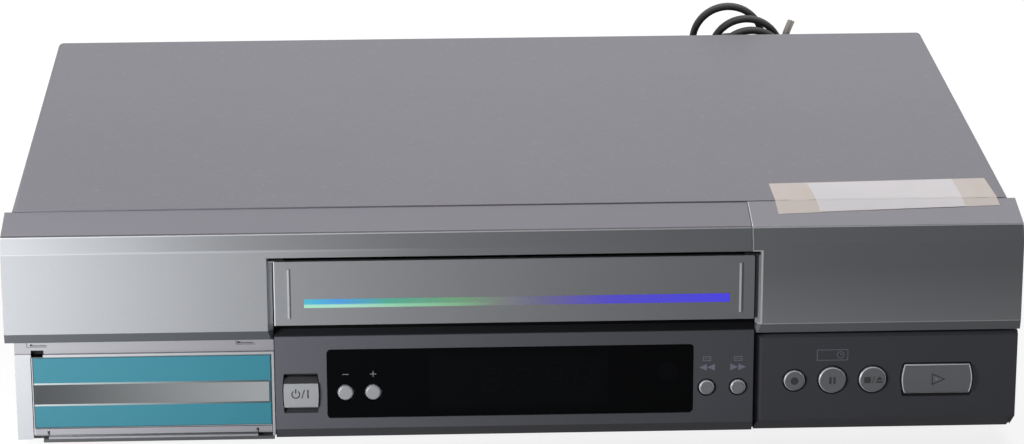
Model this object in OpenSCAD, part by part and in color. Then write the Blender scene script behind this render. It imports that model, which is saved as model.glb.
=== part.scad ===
// Front-loading video cassette recorder: moulded front, steel case, tape deck, boards and mains lead.
// Millimetres. X runs to the right seen from the front, Y from the front to the rear, Z up from the table.

/* [Overall] */
// Width over the silver band of the front
body_w = 400; // [396:1:410]
// Height of the top cover above the table
body_h = 94.5; // [93.5:0.5:100]
// Depth from the front face to the rear sockets
body_d = 270; // [266:1:290]
// Height of the feet
foot_h = 5; // [4.5:0.5:6]

/* [Steel case] */
// Thickness of the folded steel sheet
sheet_t = 0.8; // [0.6:0.1:1]
// Step from the end of the front band in to the side of the cover
cover_inset = 2.3; // [2:0.1:3]
// Outer radius of the cover's long folds
cover_r = 2.5; // [1.5:0.5:3]
// Height of the cover's lower edge above the feet
cover_hem = 2; // [1:0.5:3]
// Depth of the lip folded down over the rear panel
rear_lip = 11; // [8:1:13]
// How far the rear sockets stand out behind the rear panel
socket_out = 4; // [3:0.5:5]
// Height of the folded rim of the bottom plate
rim_h = 9; // [6:1:12]
// Radius of the feet
foot_r = 11; // [9:0.5:13]
// Distance of the feet from the sides of the case
foot_in_x = 36; // [30:1:50]
// Distance of the feet from the front and rear faces
foot_in_y = 30; // [26:1:40]
// Width of a vent slot
vent_w = 2.4; // [1.5:0.1:3]
// Length of a vent slot
vent_l = 17; // [12:1:22]
// Spacing of the vent slots
vent_pitch = 6; // [5:0.5:8]
// Number of vent slots in a row
vent_n = 11; // [6:1:12]

/* [Front band] */
// Depth of the band from its face to the cover
band_d = 24; // [20:1:26]
// Wall of the moulded front pieces
wall = 2.2; // [1.8:0.1:2.4]
// Drop from the cover to the rear edge of the band
band_step = 0.5; // [0.3:0.1:1]
// Drop from the cover to the crown line of the band
crown_drop = 4; // [3:0.5:5]
// Distance of the crown line behind the face
crown_in = 2.9; // [2.5:0.1:4]
// Drop from the cover to the crease at the top of the face
crease_drop = 10; // [9:0.5:10.5]
// Height of the lower edge of the face
face_low = 51.4; // [51:0.1:52]
// Height of the underside of the band
band_low = 47.5; // [47.2:0.1:48.2]
// Set-back of the underside of the band
band_low_in = 1.2; // [1:0.1:2.5]
// Left edge of the raised end cap of the band
cap_x = 93; // [88:0.5:93.5]
// How far the end cap stands proud of the band
cap_proud = 0.25; // [0.1:0.05:0.4]
// Thickness of the end cap
cap_t = 1.4; // [1:0.1:1.6]

/* [Cassette slot] */
// Width of the slot in the band
slot_w = 189.6; // [189:0.2:191]
// Height of the floor that the cassette slides over
slot_floor = 53.2; // [53:0.1:53.4]
// Height of the top edge of the slot in the band
slot_top = 81.6; // [81.5:0.1:82.5]
// Bevel of the slot's side edges
jamb_bevel = 2.1; // [1:0.1:2.5]
// Width of the cassette flap
flap_w = 188.5; // [187:0.5:188.9]
// Height of the flap's lower edge
flap_low = 53.5; // [53.4:0.1:54]
// Height of the flap's upper edge
flap_high = 79.9; // [79.5:0.1:80.1]
// Thickness of the flap
flap_t = 2; // [1.8:0.1:2.2]
// Height of the flap's hinge line
flap_axis_z = 80.4; // [80.3:0.1:80.6]
// Set-back of the flap behind the band's face
flap_in = 0.2; // [0:0.1:0.5]
// Radius of the flap's hinge pins
flap_pin_r = 0.8; // [0.6:0.1:0.9]

/* [Cassette] */
// Width of the standard cassette
tape_w = 188; // [187.5:0.5:188.5]
// Height of the standard cassette
tape_h = 25; // [24.5:0.5:25.5]
// Distance between the cassette's two hubs
hub_span = 92.5; // [90:0.5:95]
// Distance of the hubs behind the cassette's leading edge
hub_back = 68; // [66:0.5:70]

/* [Lower front] */
// Half width of the dark centre panel
centre_half = 94.5; // [93:0.1:94.6]
// Set-back of the centre panel behind the band
centre_in = 1; // [0.5:0.1:1.5]
// Height of the centre panel's top edge
centre_top = 48.4; // [48:0.1:49]
// Depth of the sloping ledge under the flap
ledge_d = 4; // [3:0.5:5]
// Rise of that ledge
ledge_rise = 1.75; // [1.2:0.05:2.2]
// Height of the crease above the panels' lower bevel
bevel_top = 9.6; // [9:0.1:11]
// Depth of the panels' lower bevel
bevel_d = 2.8; // [2:0.1:3.5]
// Gap between neighbouring front panels
panel_gap = 0.7; // [0.4:0.1:0.9]
// Set-back of the right panel behind the band
right_in = 2; // [1.5:0.1:2.5]
// Height of the right panel's top edge
right_top = 44.5; // [44:0.1:45]
// Rise of the panel's top behind that edge
right_rise = 1.3; // [0.8:0.1:1.5]
// Step from the band's end in to the side of the right panel
right_step = 0.5; // [0.3:0.1:1.5]
// Radius of the right panel's inner edge
right_r = 3; // [1.5:0.5:3]
// Thickness of the lower panels
panel_t = 2; // [1.6:0.1:2.2]

/* [Display window] */
// Left edge of the window
win_left = -74; // [-75:0.5:-73]
// Right edge of the window
win_right = 70.7; // [68:0.1:71]
// Height of the window's lower edge
win_low = 14; // [13.5:0.1:15]
// Height of the window's upper edge
win_high = 42.8; // [41:0.1:43.5]
// Corner radius of the window
win_r = 1.6; // [1:0.1:2.5]
// Thickness of the window
win_t = 1.8; // [1.5:0.1:2]
// Flange of the window behind the panel
win_flange = 1.5; // [1:0.1:1.8]

/* [Buttons] */
// Travel of every button
travel = 0.8; // [0.5:0.1:1]
// Gap round every button
button_gap = 0.4; // [0.15:0.05:0.4]
// Height of the middle of the two rows of round buttons
row_z = 24.6; // [23:0.1:26]
// Height of the middle of the deck buttons on the right panel
deck_row_z = 26.5; // [25:0.1:28]
// Centre of the power button
power_x = -84.4; // [-85:0.1:-84]
// Width of the power button's well
power_w = 14.6; // [14:0.1:15]
// Height of the power button's well
power_h = 16.8; // [16:0.1:17.5]
// Bulge of the power button's sides
power_bulge = 0.7; // [0.4:0.1:1]
// Centre of the channel down button
down_x = -66.8; // [-67.5:0.1:-66]
// Centre of the channel up button
up_x = -55.9; // [-57:0.1:-55]
// Radius of the channel buttons
channel_r = 3.15; // [2.8:0.05:3.4]
// Centre of the rewind button
rewind_x = 76.1; // [76:0.1:77]
// Centre of the forward button
forward_x = 88.5; // [87:0.1:88.6]
// Radius of the rewind and forward buttons
wind_r = 3.0; // [2.9:0.1:3.4]
// Centre of the record button, as a share of the right panel's width
record_at = 0.1515; // [0.13:0.0005:0.16]
// Radius of the record button
record_r = 4.2; // [3.8:0.1:4.6]
// Centre of the pause button, as a share of the right panel's width
pause_at = 0.2963; // [0.286:0.0005:0.305]
// Centre of the stop and eject button, as a share of the right panel's width
stop_at = 0.4506; // [0.439:0.0005:0.458]
// Radius of the pause and stop buttons
pause_r = 5.4; // [5:0.1:5.8]
// Centre of the play button, as a share of the right panel's width
play_at = 0.6951; // [0.68:0.0005:0.707]
// Width of the play button, as a share of the right panel's width
play_share = 0.2675; // [0.26:0.0005:0.282]
// Height of the play button
play_h = 12.2; // [12:0.1:13.5]
// Bulge of the play button's ends
play_bulge = 1.1; // [0.8:0.1:1.5]
// How far the round buttons stand out of their panel
button_out = 0.9; // [0.6:0.1:1.5]

/* [Front socket compartment] */
// Step from the band's end in to the left side of the frame
av_step = 3.5; // [3:0.5:5]
// Set-back of the frame behind the band
av_in = 1.8; // [1.5:0.1:2.5]
// Height of the frame's lower edge
av_low = 6.6; // [6.5:0.1:6.8]
// Height of the top rail's upper edge
av_top = 47; // [46:0.1:47.1]
// Height of the step along the top rail
av_strip = 4.6; // [4:0.1:5]
// Distance of the door's left edge from the end of the band
door_in = 10; // [9:0.5:12]
// Right edge of the door
door_right = -96.1; // [-97:0.1:-96]
// Height of the door's lower edge
door_low = 10; // [10:0.1:10.4]
// Height of the door's upper edge
door_high = 41.1; // [40.5:0.1:41.2]
// Thickness of the door
door_t = 2; // [1.8:0.1:2.4]
// Height of the door's hinge line
door_axis_z = 9; // [8.9:0.1:9.1]
// Gap round the door
door_gap = 0.3; // [0.2:0.05:0.4]
// Depth of the compartment
av_depth = 14; // [12:0.5:16]
// Distance of the outer front sockets from the door's ends
av_socket_in = 17; // [16:0.5:20]

/* [Boards] */
// Thickness of the circuit boards
board_t = 1.6; // [1.2:0.1:2]
// Height of the main board above the bottom plate
board_up = 5; // [4:0.5:6]
// Depth from the front face to the button board
front_board_in = 17; // [16.5:0.5:19]
// Height of the button board
front_board_h = 36; // [34:0.5:37]
// Body width of a button switch
switch_w = 6; // [5:0.5:6.5]
// Height of a button switch with its plunger
switch_h = 4.5; // [4:0.1:5]
// Width of the power board
power_board_w = 78; // [70:1:80]
// Depth of the power board
power_board_d = 168; // [150:1:175]

/* [Tape deck] */
// Height of the top of the deck plate
deck_z = 28.2; // [27:0.1:29]
// Thickness of the deck plate
deck_t = 1.2; // [1:0.1:1.5]
// Half width of the deck plate
deck_half = 112; // [110:0.5:114]
// Depth from the front face to the deck plate
deck_front = 34; // [32:0.5:36]
// Depth of the deck plate
deck_d = 192; // [190:1:200]
// Gap between the side brackets and the carriage
rail_gap = 1; // [0.6:0.1:1.2]
// Travel of the carriage into the machine
carriage_travel = 62; // [60:0.5:62]
// Drop of the cassette holder onto the reels
holder_drop = 20; // [18:0.5:20]
// Depth of the cassette holder
holder_d = 52; // [48:0.5:53]
// Depth from the front face to the front of the holder
holder_front = 30; // [29.5:0.5:31]
// Radius of the carriage's rollers
roller_r = 1.5; // [1.2:0.1:1.8]
// Clearance of a roller or pin in its slot
slot_gap = 0.15; // [0.1:0.05:0.25]
// Radius of the head drum
drum_r = 31; // [30:0.5:31]
// Depth from the front face to the middle of the drum
drum_in = 186; // [185:0.5:188]
// Tilt of the drum
drum_tilt = 6; // [5:0.5:7]
// Radius of a spindle or shaft
shaft_r = 1.5; // [1.2:0.1:1.6]
// Running clearance of a shaft in its bore
run_gap = 0.05; // [0.03:0.01:0.08]
// Radius of a reel table
reel_r = 20; // [18:0.5:21]
// Distance of the tape guides from the middle
guide_x = 43; // [42.5:0.5:44]
// Travel of the tape guides
guide_travel = 56; // [50:1:58]
// Distance of the capstan from the middle
capstan_x = 62; // [61:0.5:63]
// Distance of the capstan behind the loaded cassette
capstan_back = 15.5; // [15:0.5:16]
// Length of the pinch roller's arm
pinch_len = 24; // [23.5:0.1:24.5]
// Radius of the pinch roller
pinch_r = 6.2; // [5.8:0.1:6.4]
// Teeth of the loading gear
gear_teeth = 32; // [24:1:36]
// Outer radius of the loading gear
gear_r = 17; // [15:0.5:17.5]

/* [Mains lead] */
// Width of the flat lead
lead_w = 5.4; // [5:0.1:5.6]
// Thickness of the flat lead
lead_t = 3.4; // [3:0.1:3.6]
// Distance of the lead's gland from the end of the band
gland_in = 28; // [28:1:28]
// Height of the lead's gland
gland_z = 30; // [30:1:30]
// Radius of the hank's end turns
turn_r = 16.3; // [16.2:0.1:16.5]
// Spacing of the hank's turns
turn_pitch = 5.95; // [5.9:0.05:6]

/* [Hidden] */
$fn = 48;
eps = 0.01;
far = 500;

// Main planes
front = -body_d / 2;
rear = body_d / 2;
panel_back = rear - socket_out;
cover_half = body_w / 2 - cover_inset;
cover_front = front + band_d;
case_half = cover_half - sheet_t;
plate_front = front + 7;
floor_z = foot_h + sheet_t;
board_z = floor_z + board_up;
deck_low = deck_z - deck_t;
deck_y0 = front + deck_front;
deck_y1 = deck_y0 + deck_d;
front_board_y = front + front_board_in;
switch_y = front_board_y - switch_h;
stem_end = switch_y - travel - 0.1;
slot_half = slot_w / 2;
flap_axis_y = front + flap_in + flap_t / 2;
roof_z = flap_axis_z + flap_t / 2 + 0.5;
right_x0 = centre_half + panel_gap;
right_x1 = body_w / 2 - right_step;
right_z = front + right_in;
right_w = right_x1 - right_x0;
record_x = right_x0 + record_at * right_w;
pause_x = right_x0 + pause_at * right_w;
stop_x = right_x0 + stop_at * right_w;
play_x = right_x0 + play_at * right_w;
play_w = play_share * right_w;
centre_y = front + centre_in;
sill_t = 1.8;
board_screw_low = foot_h + 6.5;
board_screw_high = centre_top - 3.6;
board_screw_r = 2.4;
well_wall = 1;
sill_end = front + holder_front - 3;
gland_x = body_w / 2 - gland_in;
av_x0 = -body_w / 2 + av_step;
door_left = -body_w / 2 + door_in;
av_x1 = -centre_half - 0.3;
av_y = front + av_in;
av_lip = 1;
door_axis_y = av_y + 1.4;
door_y = av_y + 0.1;

// Cassette transport
holder_half = tape_w / 2 + 0.6;
holder_t = 0.8;
holder_y0 = front + holder_front;
holder_y1 = holder_y0 + holder_d;
holder_roof = slot_floor + tape_h + 1.4;
carriage_t = 1.2;
holder_gap = 3;
carriage_in = holder_half + holder_t + holder_gap;
carriage_out = carriage_in + carriage_t;
carriage_top = holder_roof + holder_t + 1.9;
bracket_in = carriage_out + rail_gap;
bracket_t = 1.2;
bracket_top = deck_z + 60;
rail_z = 73;
roller_y = [holder_y0 + 10, holder_y1 - 11];
pin_y = [holder_y0 + 14, holder_y1 - 15];
pin_z = 66;
pin_r = 1.2;
lead_edge = holder_y1 + carriage_travel;
reel_y = lead_edge - hub_back;
drum_y = front + drum_in;
capstan_y = lead_edge + capstan_back;
capstan_top = 62;
pinch_pivot = [capstan_x + 24, capstan_y + 18];
pinch_rest = 262;
pinch_tip = [pinch_pivot[0] + pinch_len * cos(pinch_rest), pinch_pivot[1] + pinch_len * sin(pinch_rest)];
guide_y = lead_edge - 11;
gear_x = -82;
gear_y = drum_y + 14;
gear_z = deck_z + 9;
gear_t = 5;
worm_r = 3;
worm_y = gear_y + gear_r + worm_r + 0.4;
motor_r = 11;
motor_x = [gear_x + 22, gear_x + 48];

// A block between two corners given as ranges
module block(x, y, z) {
  translate([x[0], y[0], z[0]])
    cube([x[1] - x[0], y[1] - y[0], z[1] - z[0]]);
}

// A profile in Y and Z drawn out along X
module along_x(x) {
  translate([x[0], 0, 0])
    rotate([90, 0, 90])
      linear_extrude(x[1] - x[0]) children();
}

// A profile in X and Z drawn out along Y
module along_y(y) {
  translate([0, y[1], 0])
    rotate([90, 0, 0])
      linear_extrude(y[1] - y[0]) children();
}

// A round bar along X, Y or Z
module bar_x(r, x, y, z) {
  translate([x[0], y, z])
    rotate([0, 90, 0])
      cylinder(r = r, h = x[1] - x[0]);
}
module bar_y(r, y, x, z) {
  translate([x, y[0], z])
    rotate([-90, 0, 0])
      cylinder(r = r, h = y[1] - y[0]);
}
module bar_z(r, z, x, y) {
  translate([x, y, z[0]])
    cylinder(r = r, h = z[1] - z[0]);
}

// A rectangle with round corners, given by two corners
module round_rect(x, z, r) {
  translate([x[0] + r, z[0]])
    square([x[1] - x[0] - 2 * r, z[1] - z[0]]);
  translate([x[0], z[0] + r])
    square([x[1] - x[0], z[1] - z[0] - 2 * r]);
  for (cx = [x[0] + r, x[1] - r], cz = [z[0] + r, z[1] - r])
    translate([cx, cz])
      circle(r);
}

// A rectangle about the origin whose two ends bulge as arcs
module bulged(w, h, bulge) {
  arc_r = (h * h / 4 + bulge * bulge) / (2 * bulge);
  arc_a = asin(h / 2 / arc_r);
  polygon([for (s = [1, -1], i = [-10 : 10])
    [s * (w / 2 - arc_r + arc_r * cos(arc_a * i / 10)), s * arc_r * sin(arc_a * i / 10)]]);
}

// A slot with round ends along the second axis
module slot_2d(w, l) {
  square([w, l - w], center = true);
  for (s = [-1, 1])
    translate([0, s * (l - w) / 2])
      circle(w / 2);
}

// Outline of the band in Y and Z, moved inwards by a wall
function band_outline(inset, back) = [
  [back, body_h - band_step - inset],
  [front + crown_in + inset * 0.7, body_h - crown_drop - inset],
  [front + inset, body_h - crease_drop - inset * 0.25],
  [front + inset, face_low + inset * 0.3],
  [front + band_low_in + inset * 0.6, band_low + inset],
  [back, band_low + inset]];

// The same outline with its open rear drawn on, for hollowing a piece out
function band_hollow(inset, back) = concat([[back + 1, body_h - band_step - inset]], band_outline(inset, back),
  [[back + 1, band_low + inset]]);

// Steel case

module top_cover() {
  lip_out = panel_back + sheet_t;
  color([0.56, 0.56, 0.57])
  difference() {
    union() {
      along_y([cover_front + 0.2, lip_out])
        difference() {
          intersection() {
            round_rect([-cover_half, cover_half], [-cover_r, body_h], cover_r);
            translate([-far, foot_h + cover_hem])
              square([2 * far, far]);
          }
          round_rect([-case_half, case_half], [-far, body_h - sheet_t], cover_r - sheet_t);
        }
      block([-case_half + 1, case_half - 1], [panel_back, lip_out], [body_h - rear_lip, body_h - sheet_t]);
    }
    side_vents();
    for (p = rear_screw_places())
      bar_y(1.7, [panel_back - 1, lip_out + 1], p[0], p[1]);
    for (p = side_screw_places())
      bar_x(1.7, [-far, far], p[0], p[1]);
  }
}

function rear_screw_places() = [for (s = [-1, 0, 1]) [s * (cover_half - 14), body_h - rear_lip / 2]];
function side_screw_places() = [for (y = [cover_front + 16, panel_back - 16]) [y, foot_h + cover_hem + 4]];

// Two rows of upright slots in each side of the cover
module side_vents() {
  for (row = [0, 1], i = [0 : vent_n - 1])
    translate([0, panel_back - 22 - i * vent_pitch, foot_h + 26 + row * (vent_l + 8)])
      rotate([0, 90, 0])
        rotate([0, 0, 90])
          translate([0, 0, -far])
            linear_extrude(2 * far) slot_2d(vent_w, vent_l);
}

module bottom_plate() {
  rim_x = case_half - 0.3;
  rim_y1 = panel_back - sheet_t;
  color([0.62, 0.63, 0.64])
  difference() {
    union() {
      block([-rim_x, rim_x], [plate_front, rim_y1], [foot_h, floor_z]);
      block([-centre_half + 1.4, right_x1 - panel_t - 1], [plate_front, plate_front + sheet_t],
        [foot_h, board_screw_low - board_screw_r - 0.5]);
      block([av_x0 + 10, av_x1 - 0.4], [av_y + 0.5, plate_front + sheet_t], [foot_h, av_low - 0.2]);
      for (s = [-1, 1])
        block([s * rim_x - (s > 0 ? sheet_t : 0), s * rim_x + (s > 0 ? 0 : sheet_t)],
          [cover_front + 1, rim_y1], [foot_h, foot_h + rim_h]);
      for (p = board_posts())
        bar_z(2.6, [floor_z - eps, board_z], p[0], p[1]);
      for (p = power_posts())
        bar_z(2.6, [floor_z - eps, board_z], p[0], p[1]);
      for (p = deck_posts())
        bar_z(3, [floor_z - eps, deck_low], p[0], p[1]);
    }
    for (i = [0 : vent_n - 1], row = [0 : 2])
      if (cover_half - 30 - i * vent_pitch > deck_half + 2)
        translate([cover_half - 30 - i * vent_pitch, panel_back - 50 - row * (vent_l + 6), 0])
          linear_extrude(floor_z + 1) slot_2d(vent_w, vent_l);
    for (p = side_screw_places())
      bar_x(1.25, [-far, far], p[0], p[1]);
  }
}

function board_posts() = [for (x = [-185, -30, 90], y = [front + 50, panel_back - 12]) [x, y]];
function power_posts() = [for (x = [power_x0() + 5, power_x0() + power_board_w - 5],
  y = [panel_back - 12, panel_back - power_board_d + 6]) [x, y]];
function deck_posts() = [for (s = [-1, 1], y = [deck_y0 + 6, deck_y1 - 6]) [s * (deck_half - 5), y]];
function power_x0() = case_half - power_board_w - 2;

module rear_panel() {
  color([0.6, 0.6, 0.61])
  difference() {
    union() {
      block([-case_half + 0.5, case_half - 0.5], [panel_back - sheet_t, panel_back],
        [foot_h, body_h - sheet_t - 0.3]);
      block([-case_half + 0.5, case_half - 0.5], [panel_back - 9, panel_back],
        [body_h - 2 * sheet_t - 0.3, body_h - sheet_t - 0.3]);
    }
    for (p = rear_screw_places())
      bar_y(1.25, [panel_back - 2, panel_back + 1], p[0], p[1]);
    for (z = scart_z)
      block([scart_x - scart_w / 2 - 0.3, scart_x + scart_w / 2 + 0.3], [panel_back - 2, panel_back + 1],
        [z - scart_h / 2 - 0.3, z + scart_h / 2 + 0.3]);
    for (i = [0 : 2])
      bar_y(phono_collar + 0.3, [panel_back - 2, panel_back + 1], phono_x, phono_z + i * phono_pitch);
    for (z = aerial_z)
      bar_y(aerial_r + 0.3, [panel_back - 2, panel_back + 1], tuner_x, z);
    bar_y(gland_neck_r + run_gap, [panel_back - 2, panel_back + 1], gland_x, gland_z);
    for (i = [0 : vent_n - 1])
      translate([gland_x - 8 - i * vent_pitch, panel_back + 1, 66])
        rotate([90, 0, 0])
          linear_extrude(3) slot_2d(vent_w, vent_l);
  }
}

module feet() {
  color([0.13, 0.13, 0.14])
  for (sx = [-1, 1], sy = [-1, 1])
    translate([sx * (cover_half - foot_in_x), sy * (body_d / 2 - foot_in_y), 0])
      rotate_extrude()
        polygon([[0, 0.6], [foot_r - 4, 0.6], [foot_r - 3.4, 0], [foot_r - 0.8, 0], [foot_r, 0.8],
          [foot_r, foot_h - 1], [foot_r - 1, foot_h], [0, foot_h]]);
}

module screw(head_r, shank_r, length) {
  rotate_extrude()
    polygon([[0, -length], [shank_r - 0.4, -length], [shank_r, -length + 0.6], [shank_r, 0],
      [head_r, 0], [head_r, 1.1], [head_r - 0.8, 1.9], [0, 2]]);
}

module cover_screws() {
  color([0.25, 0.25, 0.26]) {
    for (p = rear_screw_places())
      translate([p[0], panel_back + sheet_t, p[1]])
        rotate([-90, 0, 0])
          screw(3, 1.2, 5);
    for (p = side_screw_places(), s = [-1, 1])
      translate([s * cover_half, p[0], p[1]])
        rotate([0, s * 90, 0])
          screw(3.2, 1.2, 2.6);
  }
}

// Moulded front

// Sideways bevelled cut of the cassette slot through the band
module slot_cut() {
  translate([0, 0, band_low - 1])
    linear_extrude(slot_top - band_low + 1)
      polygon([[-slot_half - jamb_bevel, front - 1], [-slot_half - jamb_bevel, front],
        [-slot_half, front + jamb_bevel], [-slot_half, front + band_d + 8],
        [slot_half, front + band_d + 8], [slot_half, front + jamb_bevel],
        [slot_half + jamb_bevel, front], [slot_half + jamb_bevel, front - 1]]);
}

module front_frame() {
  back = front + band_d;
  cap_in = cap_t - cap_proud;
  end_x = body_w / 2;
  color([0.72, 0.73, 0.75])
  difference() {
    union() {
      difference() {
        along_x([-end_x, cap_x]) polygon(band_outline(0, back));
        along_x([-end_x + wall, cap_x + 1]) polygon(band_hollow(wall, back));
      }
      difference() {
        along_x([cap_x, end_x - cap_in]) polygon(band_outline(cap_in, back));
        along_x([cap_x - 1, end_x - cap_in - wall]) polygon(band_hollow(wall + 0.4, back));
      }
      for (s = [-1, 1])
        along_x(s > 0 ? [slot_half, slot_half + wall] : [-slot_half - wall, -slot_half])
          polygon([[front + cap_in, face_low + 0.6], [front + 3, band_low + cap_in],
            [sill_end, band_low + cap_in], [sill_end, roof_z + wall], [front + 2, roof_z + wall],
            [front + cap_in, slot_top]]);
      block([-slot_half - wall, slot_half + wall], [front + 1.5, sill_end], [slot_top - 1, roof_z + wall]);
    }
    slot_cut();
    block([-slot_half, slot_half], [flap_axis_y - 0.4, sill_end + 1], [slot_top - 2, roof_z]);
    for (s = [-1, 1])
      bar_x(flap_pin_r + run_gap, s > 0 ? [slot_half - 1, flap_w / 2 + 2.4] : [-flap_w / 2 - 2.4, -slot_half + 1],
        flap_axis_y, flap_axis_z);
  }
  color([0.72, 0.73, 0.75])
  difference() {
    block([-slot_half - wall, slot_half + wall], [front + 9, sill_end],
      [slot_floor - sill_t - wall, slot_floor - sill_t]);
    for (s = [-1, 1])
      block(s > 0 ? [slot_half, slot_half + wall + 1] : [-slot_half - wall - 1, -slot_half],
        [front + 8, front + band_d - 4], [band_low, face_low]);
  }
}

module band_end_cap() {
  back = front + band_d;
  end_x = body_w / 2;
  inner = cap_t - cap_proud;
  color([0.36, 0.37, 0.39])
  difference() {
    along_x([cap_x + 0.3, end_x]) polygon(band_outline(-cap_proud, back));
    along_x([cap_x, end_x - inner]) polygon(band_hollow(inner, back));
    slot_cut();
    bar_x(flap_pin_r + run_gap, [slot_half - 1, flap_w / 2 + 2.4], flap_axis_y, flap_axis_z);
  }
}

module cassette_flap() {
  half = flap_w / 2;
  y0 = front + flap_in;
  chamfer = 0.5;
  rib_x = half - 5.6;
  ear = [half - 4, half - 1.9];
  color([0.62, 0.63, 0.65]) {
    along_y([y0, y0 + flap_t])
      polygon([[-half, flap_low], [half, flap_low], [half, flap_high - chamfer], [half - chamfer, flap_high],
        [-half + chamfer, flap_high], [-half, flap_high - chamfer]]);
    for (s = [-1, 1]) {
      block([s * rib_x - 0.6, s * rib_x + 0.6], [y0 - 0.35, y0 + eps], [flap_low + 3, flap_high - 3]);
      bar_x(flap_t / 2, s > 0 ? ear : [-ear[1], -ear[0]], flap_axis_y, flap_axis_z);
      bar_x(flap_pin_r, s > 0 ? [ear[1] - eps, half + 2.2] : [-half - 2.2, -ear[1] + eps],
        flap_axis_y, flap_axis_z);
    }
  }
}

// Face, lower bevel and rear seat of a lower front panel, in Y and Z
function panel_outline(y, top, t) = [
  [y, top], [y, bevel_top], [y + bevel_d, foot_h + 0.1], [plate_front, foot_h + 0.1],
  [plate_front, foot_h + 0.1 + t], [y + bevel_d + t * 0.7, foot_h + 0.1 + t],
  [y + t, bevel_top + t * 0.5], [y + t, top]];

// Hole and sloping floor of a button well seen from the front
module power_hole_2d(grow) {
  translate([power_x, row_z])
    bulged(power_w + 2 * grow, power_h + 2 * grow, power_bulge);
}

module centre_panel() {
  half = centre_half;
  y = centre_y;
  sill_low = slot_floor - sill_t;
  seat_half = slot_half - 0.2;
  color([0.33, 0.33, 0.35])
  difference() {
    union() {
      along_x([-half, half]) polygon(panel_outline(y, centre_top, panel_t));
      along_x([-min(half, seat_half), min(half, seat_half)])
        polygon([[y, centre_top], [y + ledge_d, centre_top + ledge_rise], [front + 8, slot_floor],
          [sill_end, slot_floor], [sill_end, sill_low], [front + 8.8, sill_low],
          [y + ledge_d + 0.9, centre_top + ledge_rise - 1.5], [y + panel_t, centre_top - 1.6],
          [y, centre_top - 1.6]]);
      for (s = [-1, 1])
        block(s > 0 ? [half - 1.4, half] : [-half, -half + 1.4], [y + 1, plate_front], [bevel_top, band_low - 1]);
      along_y([y + eps, y + panel_t + 4]) power_hole_2d(well_wall);
      for (x = [power_x, (rewind_x + forward_x) / 2], z = [board_screw_low, board_screw_high])
        bar_y(board_screw_r, [y + panel_t - eps, front_board_y], x, z);
      for (x = [rewind_x, forward_x])
        bar_y(wind_r + button_gap + well_wall, [y + eps, y + panel_t + 2.5], x, row_z);
    }
    along_y([y - 1, y + panel_t + 5]) round_rect([win_left - 0.1, win_right + 0.1],
      [win_low - 0.1, win_high + 0.1], win_r + 0.1);
    power_well();
    for (x = [rewind_x, forward_x])
      bar_y(wind_r + button_gap, [y - 1, y + panel_t + 6], x, row_z);
  }
}

// The power button's well: a through hole, with ramps above and below it
module power_well() {
  hole_h = power_h - 4.4;
  along_y([centre_y - 1, centre_y + 12])
    intersection() {
      power_hole_2d(0);
      translate([power_x, row_z + 0.3])
        square([power_w + 2, hole_h + 2 * button_gap], center = true);
    }
  intersection() {
    along_y([centre_y - 1, centre_y + 12]) power_hole_2d(0);
    along_x([power_x - power_w, power_x + power_w])
      polygon([[centre_y - 1, row_z + power_h / 2], [centre_y, row_z + power_h / 2],
        [centre_y + 2.6, row_z + 0.3 + hole_h / 2], [centre_y + 2.6, row_z + 0.3 - hole_h / 2],
        [centre_y, row_z - power_h / 2], [centre_y - 1, row_z - power_h / 2]]);
  }
}

module right_panel() {
  y = right_z;
  x0 = right_x0;
  x1 = right_x1;
  color([0.25, 0.25, 0.26])
  difference() {
    union() {
      along_x([x0, x1]) polygon(panel_outline(y, right_top, panel_t));
      along_x([x0, x1])
        polygon([[y, right_top], [y + 1, right_top + right_rise], [plate_front, right_top + right_rise],
          [plate_front, right_top - 0.8], [y, right_top - 0.8]]);
      block([x0, x0 + 1.4], [y + 0.5, plate_front], [bevel_top, right_top]);
      block([x1 - panel_t, x1], [y, front + band_d], [foot_h + 0.1, right_top]);
      for (x = [x0 + 14, x1 - 24])
        block([x, x + 12], [plate_front - 2, plate_front], [right_top, band_low - cap_proud]);
      for (x = [x0 + 6, x1 - 8], z = [board_screw_low, right_top - 5])
        bar_y(board_screw_r, [y + panel_t - eps, front_board_y], x, z);
      for (b = [[record_x, record_r], [pause_x, pause_r], [stop_x, pause_r]])
        bar_y(b[1] + button_gap + well_wall, [y + eps, y + panel_t + 2.5], b[0], deck_row_z);
      along_y([y + eps, y + panel_t + 2.5])
        translate([play_x, deck_row_z]) bulged(play_w + 3.4, play_h + 3.4, play_bulge);
    }
    for (b = [[record_x, record_r], [pause_x, pause_r], [stop_x, pause_r]])
      bar_y(b[1] + button_gap, [y - 1, y + panel_t + 6], b[0], deck_row_z);
    along_y([y - 1, y + panel_t + 6])
      translate([play_x, deck_row_z]) bulged(play_w + 2 * button_gap, play_h + 2 * button_gap, play_bulge);
    intersection() {
      along_y([y - 1, y + panel_t + 6])
        translate([play_x, deck_row_z]) bulged(play_w + 1, play_h + 4.2, play_bulge);
      along_x([play_x - play_w, play_x + play_w])
        polygon([[y - 1, deck_row_z - play_h / 2 - 2], [y, deck_row_z - play_h / 2 - 2],
          [y + 1.6, deck_row_z - play_h / 2 + 1], [y - 1, deck_row_z - play_h / 2 + 1]]);
    }
    translate([0, 0, foot_h - 1])
      linear_extrude(right_top)
        difference() {
          translate([x0 - 1, y - 1])
            square([right_r + 1, right_r + 1]);
          translate([x0 + right_r, y + right_r])
            circle(right_r);
        }
    along_y([y - 1, front + band_d + 1])
      polygon([[x1 + 1, bevel_top + 0.4], [x1, bevel_top + 0.4], [x1 - bevel_d, foot_h + 0.1],
        [x1 - bevel_d, foot_h - 1], [x1 + 1, foot_h - 1]]);
  }
}

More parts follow.
